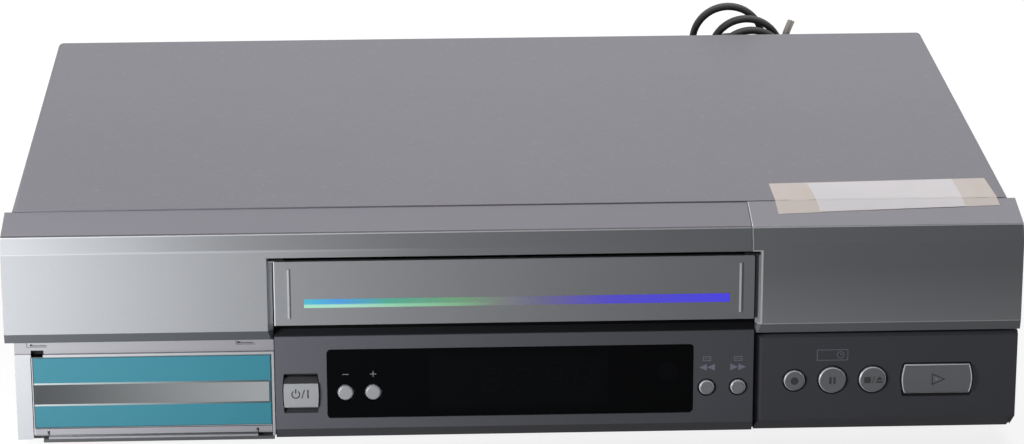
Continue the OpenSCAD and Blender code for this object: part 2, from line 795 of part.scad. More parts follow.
module av_frame() {
  x0 = av_x0;
  x1 = av_x1;
  in_x = [door_left - door_gap, door_right + door_gap];
  in_z = [door_low - 0.4, door_high + door_gap];
  floor_y = av_y + av_depth;
  ear_in = 5.9;
  color([0.88, 0.88, 0.88])
  difference() {
    union() {
      block([x0, x1], [av_y, floor_y + wall], [av_low, av_top - av_strip]);
      block([x0 + 1, x1], [av_y + 0.7, floor_y + wall], [av_low, av_top]);
      block([in_x[0], x1], [av_y - 0.6, av_y + eps], [in_z[1], av_top - av_strip]);
      block([in_x[1], x1], [av_y - 0.6, av_y + eps], [av_low + 2, in_z[1] + eps]);
      block([x0 + 6, x1 - 6], [floor_y - 3, floor_y + wall], [av_top - eps, band_low]);
      block([x0 + 12, x1 - 6], [floor_y - 3, floor_y + wall], [floor_z, av_low + eps]);
      block([x0, x0 + wall], [av_y, front + band_d], [av_low, av_top - av_strip]);
      block([x0, x0 + wall], [av_y + 0.7, front + band_d], [av_low, av_top]);
    }
    block(in_x, [av_y - 2, floor_y], in_z);
    block([x0 + wall, in_x[0] - wall], [av_y + wall, floor_y + wall + 1], [av_low + wall, av_top - wall]);
    block([x0 + wall, x1 - wall], [av_y + 2.7, floor_y - 4], [in_z[1] + 1.6, av_top - 1.6]);
    block([in_x[0] + ear_in - 1, in_x[1] - ear_in + 1], [av_y - 1, door_axis_y + 1.2], [av_low + 0.8, in_z[0] + 1]);
    for (x = [[in_x[0], in_x[0] + ear_in], [in_x[1] - ear_in, in_x[1]]])
      block(x, [av_y - 1, door_axis_y + 3], [av_low - 1, in_z[0] + 1]);
    for (x = [door_left - 0.2, door_right - 13])
      block([x, x + 6.5], [av_y - 1, av_y + 1.7], [av_top - 1.4, av_top - 0.6]);
    block([door_left, door_left + 4.7], [av_y - 2, av_y + 3], [door_high, door_high + 2.7]);
    bar_x(door_pin_r + run_gap, [in_x[0] - 1.4, in_x[0] + 1], door_axis_y, door_axis_z);
    bar_x(door_pin_r + run_gap, [in_x[1] - 1, in_x[1] + 0.8], door_axis_y, door_axis_z);
    for (i = [0 : 3])
      bar_y(av_socket_r + run_gap, [floor_y - 1, floor_y + wall + 1], av_socket_x(i), av_socket_z);
  }
}

door_pin_r = 0.8;
av_socket_r = 4.6;
av_socket_z = (door_low + door_high) / 2;
function av_socket_x(i) = door_left + av_socket_in + i * (door_right - door_left - 2 * av_socket_in) / 3;

module av_door() {
  y = door_y;
  ear_r = 1.3;
  ear_w = 5.2;
  color([0.28, 0.52, 0.58]) {
    difference() {
      block([door_left, door_right], [y, y + door_t], [door_low, door_high]);
      block([door_left + 2, door_right - 2], [y + door_t - 0.6, y + door_t + 1], [door_low + 3, door_high - 2]);
    }
    block([door_left + ear_w + 1, door_right - ear_w - 1], [y, y + 1], [door_low - 1.6, door_low + eps]);
    for (x = [[door_left, door_left + ear_w], [door_right - ear_w, door_right]]) {
      bar_x(ear_r, x, door_axis_y, door_axis_z);
      block(x, [y, y + door_t], [door_axis_z, door_low + eps]);
    }
    bar_x(door_pin_r, [door_left - door_gap - 1.2, door_left + eps], door_axis_y, door_axis_z);
    bar_x(door_pin_r, [door_right - eps, door_right + door_gap + 0.7], door_axis_y, door_axis_z);
  }
}

module av_sockets() {
  y0 = av_y + av_depth;
  color([0.75, 0.72, 0.3])
  for (i = [0 : 3])
    difference() {
      union() {
        bar_y(av_socket_r, [y0 - 4.5, y0 + wall], av_socket_x(i), av_socket_z);
        bar_y(av_socket_r + 1, [y0 + wall, y0 + wall + 3], av_socket_x(i), av_socket_z);
      }
      bar_y(i == 0 ? 3.6 : 1.7, [y0 - 5, y0 - 0.5], av_socket_x(i), av_socket_z);
    }
}

module display_window() {
  y = centre_y + 0.2;
  back = centre_y + panel_t;
  flange_y = back + 0.02;
  color([0.05, 0.05, 0.06])
  difference() {
    union() {
      along_y([y, back + 0.5]) round_rect([win_left, win_right], [win_low, win_high], win_r);
      along_y([flange_y, flange_y + 0.9])
        round_rect([win_left - win_flange, win_right + win_flange],
          [win_low - win_flange, win_high + win_flange], win_r);
    }
    along_y([y + win_t, back + 2]) round_rect([win_left + 1.5, win_right - 1.5],
      [win_low + 1.5, win_high - 1.5], win_r);
    for (x = [down_x, up_x])
      bar_y(channel_r + button_gap, [y - 1, back + 2], x, row_z);
  }
}

module display_module() {
  x = [-44, 42];
  z = [17, 40];
  color([0.2, 0.3, 0.3]) {
    block([x[0], x[1]], [front_board_y - 2.4, front_board_y], z);
    block([x[0] + 2, x[1] - 2], [front_board_y - 6.4, front_board_y - 2.4], [z[0] + 2, z[1] - 2]);
    bar_y(1.5, [front_board_y - 4, front_board_y - 2.4 + eps], x[1] - 0.6, z[1] - 0.6);
  }
}

module ir_receiver() {
  x = 56;
  z = 27;
  color([0.12, 0.1, 0.12]) {
    block([x - 4, x + 4], [front_board_y - 5, front_board_y], [z - 5, z + 5]);
    translate([x, front_board_y - 5, z])
      intersection() {
        sphere(3);
        translate([-4, -4, -4])
          cube([8, 4, 8]);
      }
  }
}

// Places of the nine button switches
function switch_places() = [[power_x, row_z], [down_x, row_z], [up_x, row_z], [rewind_x, row_z],
  [forward_x, row_z], [record_x, deck_row_z], [pause_x, deck_row_z], [stop_x, deck_row_z],
  [play_x, deck_row_z]];

module front_board() {
  z0 = foot_h + 4.6;
  color([0.1, 0.35, 0.2])
  block([-centre_half + 1.5, right_x1 - 4], [front_board_y, front_board_y + board_t], [z0, z0 + front_board_h]);
}

module tact_switches() {
  color([0.15, 0.15, 0.16])
  for (p = switch_places()) {
    block([p[0] - switch_w / 2, p[0] + switch_w / 2], [switch_y + 1, front_board_y],
      [p[1] - switch_w / 2, p[1] + switch_w / 2]);
    bar_y(1.7, [switch_y, switch_y + 1 + eps], p[0], p[1]);
  }
}

// A round push button guided in its panel, with a collar behind the panel and a stem to its switch
module round_button(x, z, r, face_y, guide_y1, tone) {
  edge = 0.5;
  depth = guide_y1 - face_y;
  color(tone)
  translate([x, face_y, z])
    rotate([-90, 0, 0])
      rotate_extrude()
        polygon([[0, 0], [r - edge - 0.3, 0], [r - edge, 0.08], [r - 0.1, edge], [r, edge + 0.2],
          [r, depth + 0.3], [r + 0.8, depth + 0.3], [r + 0.8, depth + 1.3], [1.6, depth + 1.3],
          [1.6, stem_end - face_y], [0, stem_end - face_y]]);
}

silver = [0.68, 0.68, 0.69];
grey = [0.42, 0.42, 0.44];
centre_guide = centre_y + panel_t + 2.5;
right_guide = right_z + panel_t + 2.5;
channel_face = centre_y + 0.2 - 0.7;

module channel_down_button() {
  round_button(down_x, row_z, channel_r, channel_face, centre_y + panel_t + 1, silver);
}
module channel_up_button() {
  round_button(up_x, row_z, channel_r, channel_face, centre_y + panel_t + 1, silver);
}
module rewind_button() {
  round_button(rewind_x, row_z, wind_r, centre_y - button_out, centre_guide, grey);
}
module forward_button() {
  round_button(forward_x, row_z, wind_r, centre_y - button_out, centre_guide, grey);
}
module record_button() {
  round_button(record_x, deck_row_z, record_r, right_z - button_out, right_guide, grey);
}
module pause_button() {
  round_button(pause_x, deck_row_z, pause_r, right_z - button_out, right_guide, grey);
}
module stop_eject_button() {
  round_button(stop_x, deck_row_z, pause_r, right_z - button_out, right_guide, grey);
}

module power_button() {
  mid = row_z + 0.3;
  h = power_h - 4.4;
  y = centre_y;
  color(silver) {
    intersection() {
      along_y([y - 2, y + 7])
        translate([power_x, row_z]) bulged(power_w - 2 * button_gap, power_h, power_bulge);
      along_x([power_x - power_w / 2, power_x + power_w / 2])
        polygon([[y + 7, mid - h / 2], [y - 0.2, mid - h / 2], [y - 0.8, mid - h / 2 + 0.5],
          [y - 1, mid], [y - 0.8, mid + h / 2 - 2.2], [y - 0.5, mid + h / 2 - 2],
          [y + 1.6, mid + h / 2], [y + 7, mid + h / 2]]);
    }
    block([power_x - power_w / 2 - 0.4, power_x + power_w / 2 + 0.4], [y + panel_t + 4.3, y + panel_t + 5.4],
      [mid - h / 2 - 0.8, mid + h / 2 + 0.8]);
    bar_y(1.6, [y + panel_t + 5.4 - eps, stem_end], power_x, row_z);
  }
}

module play_button() {
  y = right_z;
  h = play_h;
  color(grey) {
    intersection() {
      along_y([y - 2, right_guide + 0.3 + eps])
        translate([play_x, deck_row_z]) bulged(play_w, h, play_bulge);
      along_x([play_x - play_w / 2, play_x + play_w / 2])
        polygon([[right_guide + 1, deck_row_z - h / 2], [y - button_out + 0.6, deck_row_z - h / 2],
          [y - button_out, deck_row_z - h / 2 + 0.6], [y - button_out - 0.25, deck_row_z],
          [y - button_out, deck_row_z + h / 2 - 0.6], [y - button_out + 0.6, deck_row_z + h / 2],
          [right_guide + 1, deck_row_z + h / 2]]);
    }
    along_y([right_guide + 0.3, right_guide + 1.3])
      translate([play_x, deck_row_z]) bulged(play_w + 1.6, h + 1.6, play_bulge);
    bar_y(1.6, [right_guide + 1.3 - eps, stem_end], play_x, deck_row_z);
  }
}

// Boards, power supply and rear sockets

scart_x = 10;
scart_w = 46;
scart_h = 12;
scart_z = [34, 58];
phono_x = -76;
phono_collar = 6;
phono_z = 26;
phono_pitch = 14;
phono_r = 4.2;
tuner_x = -130;
aerial_z = [34, 60];
aerial_r = 4.8;
gland_neck_r = 4.2;

module main_board() {
  color([0.1, 0.38, 0.22])
  difference() {
    block([-case_half + 2.5, power_x0() - 2], [front + 44, panel_back - 3], [board_z, board_z + board_t]);
    for (p = deck_posts())
      bar_z(3.4, [board_z - 1, board_z + board_t + 1], p[0], p[1]);
  }
}

module board_parts() {
  top = board_z + board_t;
  color([0.14, 0.14, 0.15])
  for (p = [[-160, -40, 28, 28], [-160, 20, 14, 20], [-128, -10, 20, 12], [-150, -85, 24, 10],
      [-60, 30, 18, 18], [0, -20, 22, 8]])
    block([p[0], p[0] + p[2]], [p[1], p[1] + p[3]], [top, top + 2.4]);
  color([0.85, 0.84, 0.8])
  for (x = [-178, -148, -120])
    block([x, x + 18], [60, 66], [top, top + 8]);
  color([0.1, 0.1, 0.12])
  for (p = [[-180, 0], [-180, 12], [-136, 40], [-122, 36], [-118, -60]])
    bar_z(4, [top, top + 11], p[0], p[1]);
}

module power_board() {
  x0 = power_x0();
  color([0.45, 0.33, 0.16])
  block([x0, x0 + power_board_w], [panel_back - 4 - power_board_d, panel_back - 4], [board_z, board_z + board_t]);
}

module transformer() {
  x = power_x0() + 12;
  y = panel_back - 92;
  top = board_z + board_t;
  color([0.3, 0.22, 0.14])
  difference() {
    block([x, x + 40], [y, y + 34], [top + 3, top + 31]);
    block([x + 6, x + 34], [y - 1, y + 35], [top + 9, top + 12.2]);
    block([x + 6, x + 34], [y - 1, y + 35], [top + 21.8, top + 25]);
  }
  color([0.8, 0.65, 0.2]) {
    block([x + 9, x + 31], [y - 3, y + eps], [top, top + 28]);
    block([x + 9, x + 31], [y + 34 - eps, y + 37], [top, top + 28]);
  }
}

module capacitors() {
  top = board_z + board_t;
  x0 = power_x0();
  color([0.1, 0.12, 0.2])
  for (p = [[14, 30, 11, 30], [38, 22, 6, 24], [54, 22, 6, 24], [62, 44, 5, 20], [12, 132, 5, 18],
      [26, 140, 4, 16], [40, 134, 5, 18]])
    translate([x0 + p[0], panel_back - power_board_d + p[1] - 4, top])
      rotate_extrude()
        polygon([[0, 0], [p[2], 0], [p[2], 1.6], [p[2] - 0.5, 2.2], [p[2], 2.8], [p[2], p[3] - 0.5],
          [p[2] - 0.5, p[3]], [0, p[3] - 0.3]]);
}

module heat_sink() {
  top = board_z + board_t;
  x = power_x0() + 60;
  y = panel_back - 120;
  fins = 7;
  color([0.7, 0.71, 0.72]) {
    block([x, x + 2.4], [y, y + 50], [top, top + 42]);
    for (i = [0 : fins - 1])
      block([x + 2.4 - eps, x + 12], [y + i * 8, y + i * 8 + 1.6], [top + 3, top + 42]);
  }
}

module tuner() {
  top = board_z + board_t;
  x = [tuner_x - 14, tuner_x + 14];
  y1 = panel_back - sheet_t;
  color([0.75, 0.76, 0.77]) {
    block(x, [y1 - 46, y1], [top, top + 60]);
    for (z = aerial_z)
      difference() {
        bar_y(aerial_r, [y1 - eps, rear - 0.2], tuner_x, z);
        bar_y(z == aerial_z[0] ? 3.6 : 1.2, [rear - 6, rear + 1], tuner_x, z);
      }
  }
}

module scart_sockets() {
  y1 = panel_back - sheet_t;
  top = board_z + board_t;
  pins = 10;
  color([0.12, 0.12, 0.13]) {
    difference() {
      union() {
        for (z = scart_z)
          block([scart_x - scart_w / 2, scart_x + scart_w / 2], [y1 - eps, rear], [z - scart_h / 2, z + scart_h / 2]);
        block([scart_x - scart_w / 2 - 3, scart_x + scart_w / 2 + 3], [y1 - 14, y1], [top, scart_z[1] + scart_h / 2 + 2]);
      }
      for (z = scart_z)
        along_y([rear - 8, rear + 1])
          polygon([[scart_x - 21, z - 4.4], [scart_x + 21, z - 4.4], [scart_x + 21, z + 1.6],
            [scart_x + 17.5, z + 4.4], [scart_x - 21, z + 4.4]]);
    }
    for (z = scart_z, i = [0 : pins - 1])
      block([scart_x - 18.6 + i * 4, scart_x - 17.6 + i * 4], [rear - 8 - eps, rear - 1.5], [z - 1.2, z + 0.6]);
  }
}

module phono_sockets() {
  y1 = panel_back - sheet_t;
  top = board_z + board_t;
  color([0.5, 0.5, 0.52])
  difference() {
    union() {
      block([phono_x - 7, phono_x + 7], [y1 - 12, y1], [top, phono_z + 2 * phono_pitch + 7]);
      for (i = [0 : 2]) {
        bar_y(phono_collar, [y1 - eps, panel_back], phono_x, phono_z + i * phono_pitch);
        bar_y(phono_r, [panel_back - eps, rear], phono_x, phono_z + i * phono_pitch);
      }
    }
    for (i = [0 : 2])
      bar_y(1.6, [rear - 9, rear + 1], phono_x, phono_z + i * phono_pitch);
  }
}

gland_end = rear + 1;

module cord_gland() {
  color([0.1, 0.1, 0.1])
  difference() {
    translate([gland_x, 0, gland_z])
      rotate([-90, 0, 0])
        translate([0, 0, panel_back])
          rotate_extrude()
            polygon([[0, -4], [gland_neck_r + 1.2, -4], [gland_neck_r + 1.2, -sheet_t - 0.1],
              [gland_neck_r, -sheet_t - 0.1], [gland_neck_r, 0.1], [gland_neck_r + 1.6, 0.1],
              [gland_neck_r + 1.6, 1.6], [3.8, gland_end - panel_back], [0, gland_end - panel_back]]);
    bar_y(1.2, [panel_back - 5, panel_back - 2], gland_x, gland_z);
  }
}

// Tape deck

module deck_chassis() {
  color([0.66, 0.67, 0.69])
  difference() {
    union() {
      block([-deck_half, deck_half], [deck_y0, deck_y1], [deck_low, deck_z]);
      for (s = [-1, 1]) {
        bar_z(4, [deck_z - eps, deck_z + 1], s * hub_span / 2, reel_y);
        bar_z(shaft_r, [deck_z - eps, deck_z + 13], s * hub_span / 2, reel_y);
      }
      bar_z(5, [deck_z - eps, deck_z + 5.4], capstan_x, capstan_y);
      bar_z(2, [deck_z - eps, deck_z + 12], pinch_pivot[0], pinch_pivot[1]);
      bar_z(4, [deck_z - eps, gear_z - 0.3], gear_x, gear_y);
      bar_z(2, [deck_z - eps, gear_z + gear_t + 2], gear_x, gear_y);
    }
    bar_z(shaft_r + run_gap, [deck_low - 1, deck_z + 11], capstan_x, capstan_y);
    for (s = [-1, 1])
      translate([s * guide_x, guide_y + guide_travel / 2, deck_low - 1])
        linear_extrude(deck_t + 2) slot_2d(2 * (guide_pin_r + slot_gap), guide_travel + 2 * (guide_pin_r + slot_gap));
    for (x = [-0.9 * hub_span, 0, 0.9 * hub_span])
      bar_z(7, [deck_low - 1, deck_z + 1], x, reel_y - 12);
  }
}

guide_pin_r = 1.8;

// A side bracket of the cassette housing, for the left (-1) or the right (+1)
module side_bracket(s) {
  y0 = deck_y0 + 1;
  y1 = lead_edge + 12;
  color([0.7, 0.71, 0.73])
  translate([s > 0 ? bracket_in : -bracket_in - bracket_t, 0, 0])
    difference() {
      union() {
        block([0, bracket_t], [y0, y1], [deck_z, bracket_top]);
        block(s > 0 ? [0, 7] : [bracket_t - 7, bracket_t], [y0, y1], [deck_z, deck_z + bracket_t]);
      }
      along_x([-1, bracket_t + 1])
        round_rect([roller_y[0] - roller_r - slot_gap, roller_y[1] + carriage_travel + roller_r + slot_gap],
          [rail_z - roller_r - slot_gap, rail_z + roller_r + slot_gap], roller_r);
      along_x([-1, bracket_t + 1])
        round_rect([y0 + 12, y1 - 30], [deck_z + 9, rail_z - 12], 6);
    }
}

module left_bracket() {
  side_bracket(-1);
}
module right_bracket() {
  side_bracket(1);
}

module housing_bridge() {
  x = bracket_in + bracket_t;
  y = [holder_y0 + 40, holder_y0 + 66];
  color([0.7, 0.71, 0.73])
  difference() {
    union() {
      block([-x - bracket_t, x + bracket_t], y, [bracket_top, bracket_top + bracket_t]);
      for (s = [-1, 1])
        block(s > 0 ? [x, x + bracket_t] : [-x - bracket_t, -x], y, [bracket_top - 6, bracket_top + eps]);
    }
    for (cx = [-60, 0, 60])
      translate([cx, (y[0] + y[1]) / 2, bracket_top - 1])
        linear_extrude(bracket_t + 2) round_rect([-22, 22], [-7, 7], 5);
  }
}

module carriage() {
  y = [holder_y0 + 4, holder_y1 - 5];
  color([0.78, 0.79, 0.8])
  union() {
    for (s = [-1, 1])
      translate([s > 0 ? carriage_in : -carriage_out, 0, 0])
        difference() {
          block([0, carriage_t], y, [pin_z - holder_drop - 6, carriage_top]);
          for (py = pin_y)
            block([-1, carriage_t + 1], [py - pin_r - slot_gap, py + pin_r + slot_gap],
              [pin_z - holder_drop - pin_r - slot_gap, pin_z + pin_r + slot_gap]);
        }
    block([-carriage_out, carriage_out], [y[0] + 14, y[1] - 14], [carriage_top - carriage_t, carriage_top]);
    for (s = [-1, 1], ry = roller_y)
      bar_x(roller_r, s > 0 ? [carriage_out - eps, bracket_in + bracket_t] :
        [-bracket_in - bracket_t, -carriage_out + eps], ry, rail_z);
  }
}

module cassette_holder() {
  out = holder_half + holder_t;
  y = [holder_y0, holder_y1];
  ledge = 22;
  stop_w = 2.4;
  color([0.74, 0.75, 0.76])
  difference() {
    union() {
      block([-out, out], y, [holder_roof, holder_roof + holder_t]);
      for (s = [-1, 1]) {
        block(s > 0 ? [holder_half, out] : [-out, -holder_half], y, [slot_floor - holder_t, holder_roof + eps]);
        block(s > 0 ? [out - ledge, out] : [-out, -out + ledge], y, [slot_floor - holder_t, slot_floor]);
        block(s > 0 ? [out - stop_w, out] : [-out, -out + stop_w], [y[1] - holder_t, y[1]],
          [slot_floor - eps, holder_roof + eps]);
      }
      for (s = [-1, 1], py = pin_y)
        bar_x(pin_r, s > 0 ? [out - eps, carriage_out] : [-carriage_out, -out + eps], py, pin_z);
    }
    for (x = [-46, 46])
      translate([x, (y[0] + y[1]) / 2, holder_roof - 1])
        linear_extrude(holder_t + 2) round_rect([-32, 32], [-14, 14], 6);
  }
}

drum_low = deck_z + 9;
drum_gap_z = 21;
drum_high = 37;

// Turns and moves the drum parts onto their tilted axis
module on_drum_axis() {
  translate([0, drum_y, drum_low])
    rotate([0, drum_tilt, 0]) children();
}

module lower_drum() {
  color([0.8, 0.8, 0.82])
  difference() {
    union() {
      on_drum_axis()
        rotate_extrude()
          polygon([[0, 4], [12, 4], [12, 1.5], [drum_r - 3, 1.5], [drum_r - 1, 3], [drum_r - 1, drum_gap_z - 8],
            [drum_r, drum_gap_z - 7.6], [drum_r, drum_gap_z], [0, drum_gap_z]]);
      for (a = [90, 210, 330])
        translate([0, drum_y, deck_z])
          rotate([0, 0, a])
            translate([drum_r - 9, 0, 0])
              cylinder(r = 3.4, h = drum_low - deck_z + 8);
    }
    on_drum_axis()
      translate([0, 0, -5])
        cylinder(r = 3 + run_gap, h = drum_gap_z + 10);
  }
}

module upper_drum() {
  color([0.85, 0.85, 0.87])
  on_drum_axis()
    rotate_extrude()
      polygon([[0, -3.6], [17, -3.6], [17, -0.4], [3, -0.4], [3, drum_gap_z + 0.4], [drum_r, drum_gap_z + 0.4],
        [drum_r, drum_high - 1], [drum_r - 1, drum_high], [16, drum_high], [15, drum_high - 3], [5, drum_high - 3],
        [5, drum_high + 1], [0, drum_high + 1]]);
}

// A reel table with the driving fins of its hub
module reel_table(x) {
  z = deck_z + 1.3;
  color([0.2, 0.2, 0.22])
  translate([x, reel_y, z])
    difference() {
      union() {
        rotate_extrude()
          polygon([[0, 0], [7, 0], [7, 1], [reel_r, 1], [reel_r, 2.6], [reel_r - 2, 2.6], [reel_r - 3, 2],
            [11, 2], [10.4, 6], [8, 6.4], [8, 11.5], [4, 14.6], [0, 14.6]]);
        for (a = [0, 120, 240])
          rotate([0, 0, a])
            block([5, 9.6], [-1, 1], [4, 11]);
      }
      translate([0, 0, -1])
        cylinder(r = shaft_r + run_gap, h = 13);
    }
}

module supply_reel() {
  reel_table(-hub_span / 2);
}
module takeup_reel() {
  reel_table(hub_span / 2);
}

module capstan() {
  low = board_z + board_t + 4;
  color([0.6, 0.6, 0.63])
  translate([capstan_x, capstan_y, 0])
    rotate_extrude()
      polygon([[0, low], [22, low], [22, low + 4.4], [6, low + 5], [5, deck_low - 0.3], [shaft_r, deck_low - 0.3],
        [shaft_r, capstan_top - 0.5], [shaft_r - 0.5, capstan_top], [0, capstan_top]]);
}

pinch_low = deck_z + 6;

module pinch_arm() {
  color([0.75, 0.75, 0.77])
  difference() {
    union() {
      bar_z(4.2, [pinch_low, pinch_low + 8], pinch_pivot[0], pinch_pivot[1]);
      translate([pinch_pivot[0], pinch_pivot[1], pinch_low])
        rotate([0, 0, pinch_rest])
          block([0, pinch_len], [-2.5, 2.5], [0.2, 1.8]);
      bar_z(3, [pinch_low, pinch_low + 2], pinch_tip[0], pinch_tip[1]);
      bar_z(shaft_r, [pinch_low + 2 - eps, pinch_low + 24], pinch_tip[0], pinch_tip[1]);
    }
    bar_z(2 + run_gap, [pinch_low - 1, pinch_low + 9], pinch_pivot[0], pinch_pivot[1]);
  }
}

module pinch_roller() {
  color([0.1, 0.1, 0.1])
  difference() {
    bar_z(pinch_r, [pinch_low + 3, pinch_low + 21], pinch_tip[0], pinch_tip[1]);
    bar_z(shaft_r + run_gap, [pinch_low, pinch_low + 23], pinch_tip[0], pinch_tip[1]);
  }
}

module tape_heads() {
  y = capstan_y + 8;
  color([0.72, 0.6, 0.35]) {
    for (x = [-capstan_x, guide_x + 12]) {
      bar_z(1.6, [deck_z, deck_z + 14], x, y + 5);
      block([x - 4, x + 4], [y + 1, y + 8], [deck_z + 12, deck_z + 14]);
      block([x - 3.5, x + 3.5], [y, y + 7], [deck_z + 14 - eps, deck_z + 31]);
    }
  }
}

// A guide roller on its slide, for the supply (-1) or the take-up (+1) side
module tape_guide(s) {
  x = s * guide_x;
  color([0.82, 0.8, 0.7]) {
    block([x - 5.5, x + 5.5], [guide_y - 6, guide_y + 6], [deck_z + 0.2, deck_z + 3.2]);
    bar_z(guide_pin_r, [deck_low - 1.5, deck_z + 0.2 + eps], x, guide_y);
    bar_z(1.2, [deck_z + 3.2 - eps, deck_z + 29], x, guide_y);
    bar_z(3, [deck_z + 10, deck_z + 26], x, guide_y);
    bar_z(3.6, [deck_z + 26 - eps, deck_z + 27], x, guide_y);
  }
}

module supply_guide() {
  tape_guide(-1);
}
module takeup_guide() {
  tape_guide(1);
}

module loading_motor() {
  z = gear_z + gear_t / 2;
  color([0.65, 0.66, 0.67]) {
    bar_x(motor_r, motor_x, worm_y, z);
    block([motor_x[0] - 1.6, motor_x[0]], [worm_y - 9, worm_y + 6], [deck_z, z + 8]);
    block([motor_x[0] - 10, motor_x[0]], [worm_y + 3.6, worm_y + 5.4], [deck_z, deck_z + 6]);
  }
}

module loading_worm() {
  z = gear_z + gear_t / 2;
  turns = 7;
  pitch = 2.4;
  color([0.9, 0.9, 0.88]) {
    bar_x(1, [gear_x - 12, motor_x[0] - 1.9], worm_y, z);
    for (i = [0 : turns - 1])
      translate([gear_x - 8 + i * pitch, worm_y, z])
        rotate([0, 90, 0])
          rotate_extrude()
            polygon([[0, 0], [worm_r - 0.9, 0], [worm_r, 0.8], [worm_r, 1.3], [worm_r - 0.9, 2.1], [0, 2.1]]);
    bar_x(worm_r - 1, [gear_x - 9, gear_x + 10], worm_y, z);
  }
}

module loading_gear() {
  root_r = gear_r - 2;
  step = 360 / gear_teeth;
  teeth = [for (i = [0 : gear_teeth - 1], p = [[root_r, -0.3], [gear_r, -0.14], [gear_r, 0.14], [root_r, 0.3]])
    [p[0] * cos((i + p[1]) * step), p[0] * sin((i + p[1]) * step)]];
  color([0.92, 0.92, 0.9])
  translate([gear_x, gear_y, gear_z])
    difference() {
      union() {
        linear_extrude(gear_t) polygon(teeth);
        translate([0, 0, gear_t - eps])
          cylinder(r = 5, h = 1.5);
      }
      translate([0, 0, -1])
        cylinder(r = 2 + run_gap, h = gear_t + 4);
      for (a = [0 : 60 : 300])
        rotate([0, 0, a + 30])
          translate([9.5, 0, -1])
            cylinder(r = 2.6, h = gear_t + 2);
    }
}

// Mains lead, drawn for a gland 172 from the middle and a rear face at 135, and moved as one

module at_rear_corner() {
  translate([gland_x - 172, rear - 135, 0]) children();
}

hank_y = 165;
hank_turns = 5;
rings = 24;
// Middle and top height of each turn of the hank, from the rearmost turn to the one by the rear panel
turn_x = [113, 112, 110.5, 118.5, 120.5];
turn_top = [84, 86, 102.2, 97.8, 93.9];
waist_x = 114;
waist_half = 2.15;
waist_z = 50;
lead_low = lead_t / 2 + 0.1;
tail_y = hank_y - hank_turns * turn_pitch;
turn_low = lead_low + turn_r;
// Free stretch from the gland to the hank
lead_route = [[172, 136, 30], [172, 143, 29.8], [172, 150, 28], [171.6, 156.5, 24], [170.6, 162.5, 18.5],
  [168.5, 168.5, 12.5], [164.8, 174, 7.2], [159.5, 178.2, 3.6], [152.5, 180.3, 1.9], [145, 179.5, 1.8],
  [138, 175.9, 1.8], [131.5, 170.8, 1.8], [125, 166.6, 1.8], [118.3, 165, 1.8]];
// Free stretch from the hank to the plug
tail_route = [[98.2, 135.25, 1.8], [91.5, 135.6, 1.8], [84.5, 137.8, 1.9], [78, 142, 2.3], [72, 147.4, 3.2],
  [66, 152.8, 4.6], [59.5, 156.9, 6], [52.5, 158.6, 6.8], [46, 158.6, 6.85]];
plug_x = 46;
plug_y = 158.6;
plug_z = 6.85;

function unit(v) = v / norm(v);
// Smooth curve through the points of a route
function between(a, b, c, d, t) = 0.5 * (2 * b + (c - a) * t + (2 * a - 5 * b + 4 * c - d) * t * t
  + (3 * b - a - 3 * c + d) * t * t * t);
function smooth(p, n) = concat([for (i = [0 : len(p) - 2], k = [0 : n - 1])
  between(p[max(i - 1, 0)], p[i], p[i + 1], p[min(i + 2, len(p) - 1)], k / n)], [p[len(p) - 1]]);
function tangent(p, i) = unit(p[min(i + 1, len(p) - 1)] - p[max(i - 1, 0)]);

// A flat lead swept along points, with its broad side across the given direction
module flat_lead(p, sides, across, grow = [0, 0]) {
  n = len(p);
  points = [for (i = [0 : n - 1])
    let (t = tangent(p, i), u = across == 0 ? unit(cross(t, [0, 0, 1])) : unit([0, 1, 0] - t * t[1]), v = cross(u, t))
    for (k = [0 : sides - 1])
      let (g = grow[0] + (grow[1] - grow[0]) * i / (n - 1))
      p[i] + u * (lead_w / 2 + g) * cos(360 * (k + 0.5) / sides) + v * (lead_t / 2 + g) * sin(360 * (k + 0.5) / sides)];
  faces = concat([[for (k = [sides - 1 : -1 : 0]) k]], [[for (k = [0 : sides - 1]) (n - 1) * sides + k]],
    [for (i = [0 : n - 2], k = [0 : sides - 1], half = [0, 1])
      let (a = i * sides + k, b = i * sides + (k + 1) % sides)
      half == 0 ? [a, b, b + sides] : [a, b + sides, a + sides]]);
  polyhedron(points, faces);
}

module power_cord() {
  color([0.13, 0.13, 0.13])
  at_rear_corner() {
    flat_lead(smooth(lead_route, 2), 8, 0);
    flat_lead([for (i = [0 : 7]) smooth(lead_route, 2)[i]], 8, 0, [1.5, 0.5]);
    flat_lead(smooth(tail_route, 2), 8, 0);
  }
}

function hank_points() = [for (k = [0 : hank_turns - 1]) each one_turn(k)];

// Ring places round one turn: bottom arc, rising run, top arc, falling run that moves on to the next turn
function one_turn(k) =
  let (x = turn_x[k], y = hank_y - turn_pitch * k, top = turn_top[k] - turn_r,
    y2 = y - turn_pitch, x2 = turn_x[min(k + 1, hank_turns - 1)],
    low_x = 114 + (x - 114) * 0.3, low_x2 = 114 + (x2 - 114) * 0.3)
  concat(
    [for (a = [0, 22, 45, 68, 90, 110]) [low_x - turn_r * sin(a), y, turn_low - turn_r * cos(a)]],
    [[waist_x - waist_half - 1.2, y, waist_z - 8], [waist_x - waist_half, y, waist_z - 3],
      [waist_x - waist_half, y, waist_z + 3]],
    [for (a = [-20, 2, 24, 46, 68, 90, 112, 134, 156, 178, 200])
      [x - turn_r * cos(a), y, top + turn_r * sin(a)]],
    [[waist_x + waist_half, y - (y - y2) * 0.4, waist_z + 3], [waist_x + waist_half, y - (y - y2) * 0.6, waist_z - 3],
      [waist_x + waist_half + 1.2, y - (y - y2) * 0.8, waist_z - 8]],
    [for (a = [110, 90, 68, 45, 22]) [low_x2 + turn_r * sin(a), y2, turn_low - turn_r * cos(a)]]);

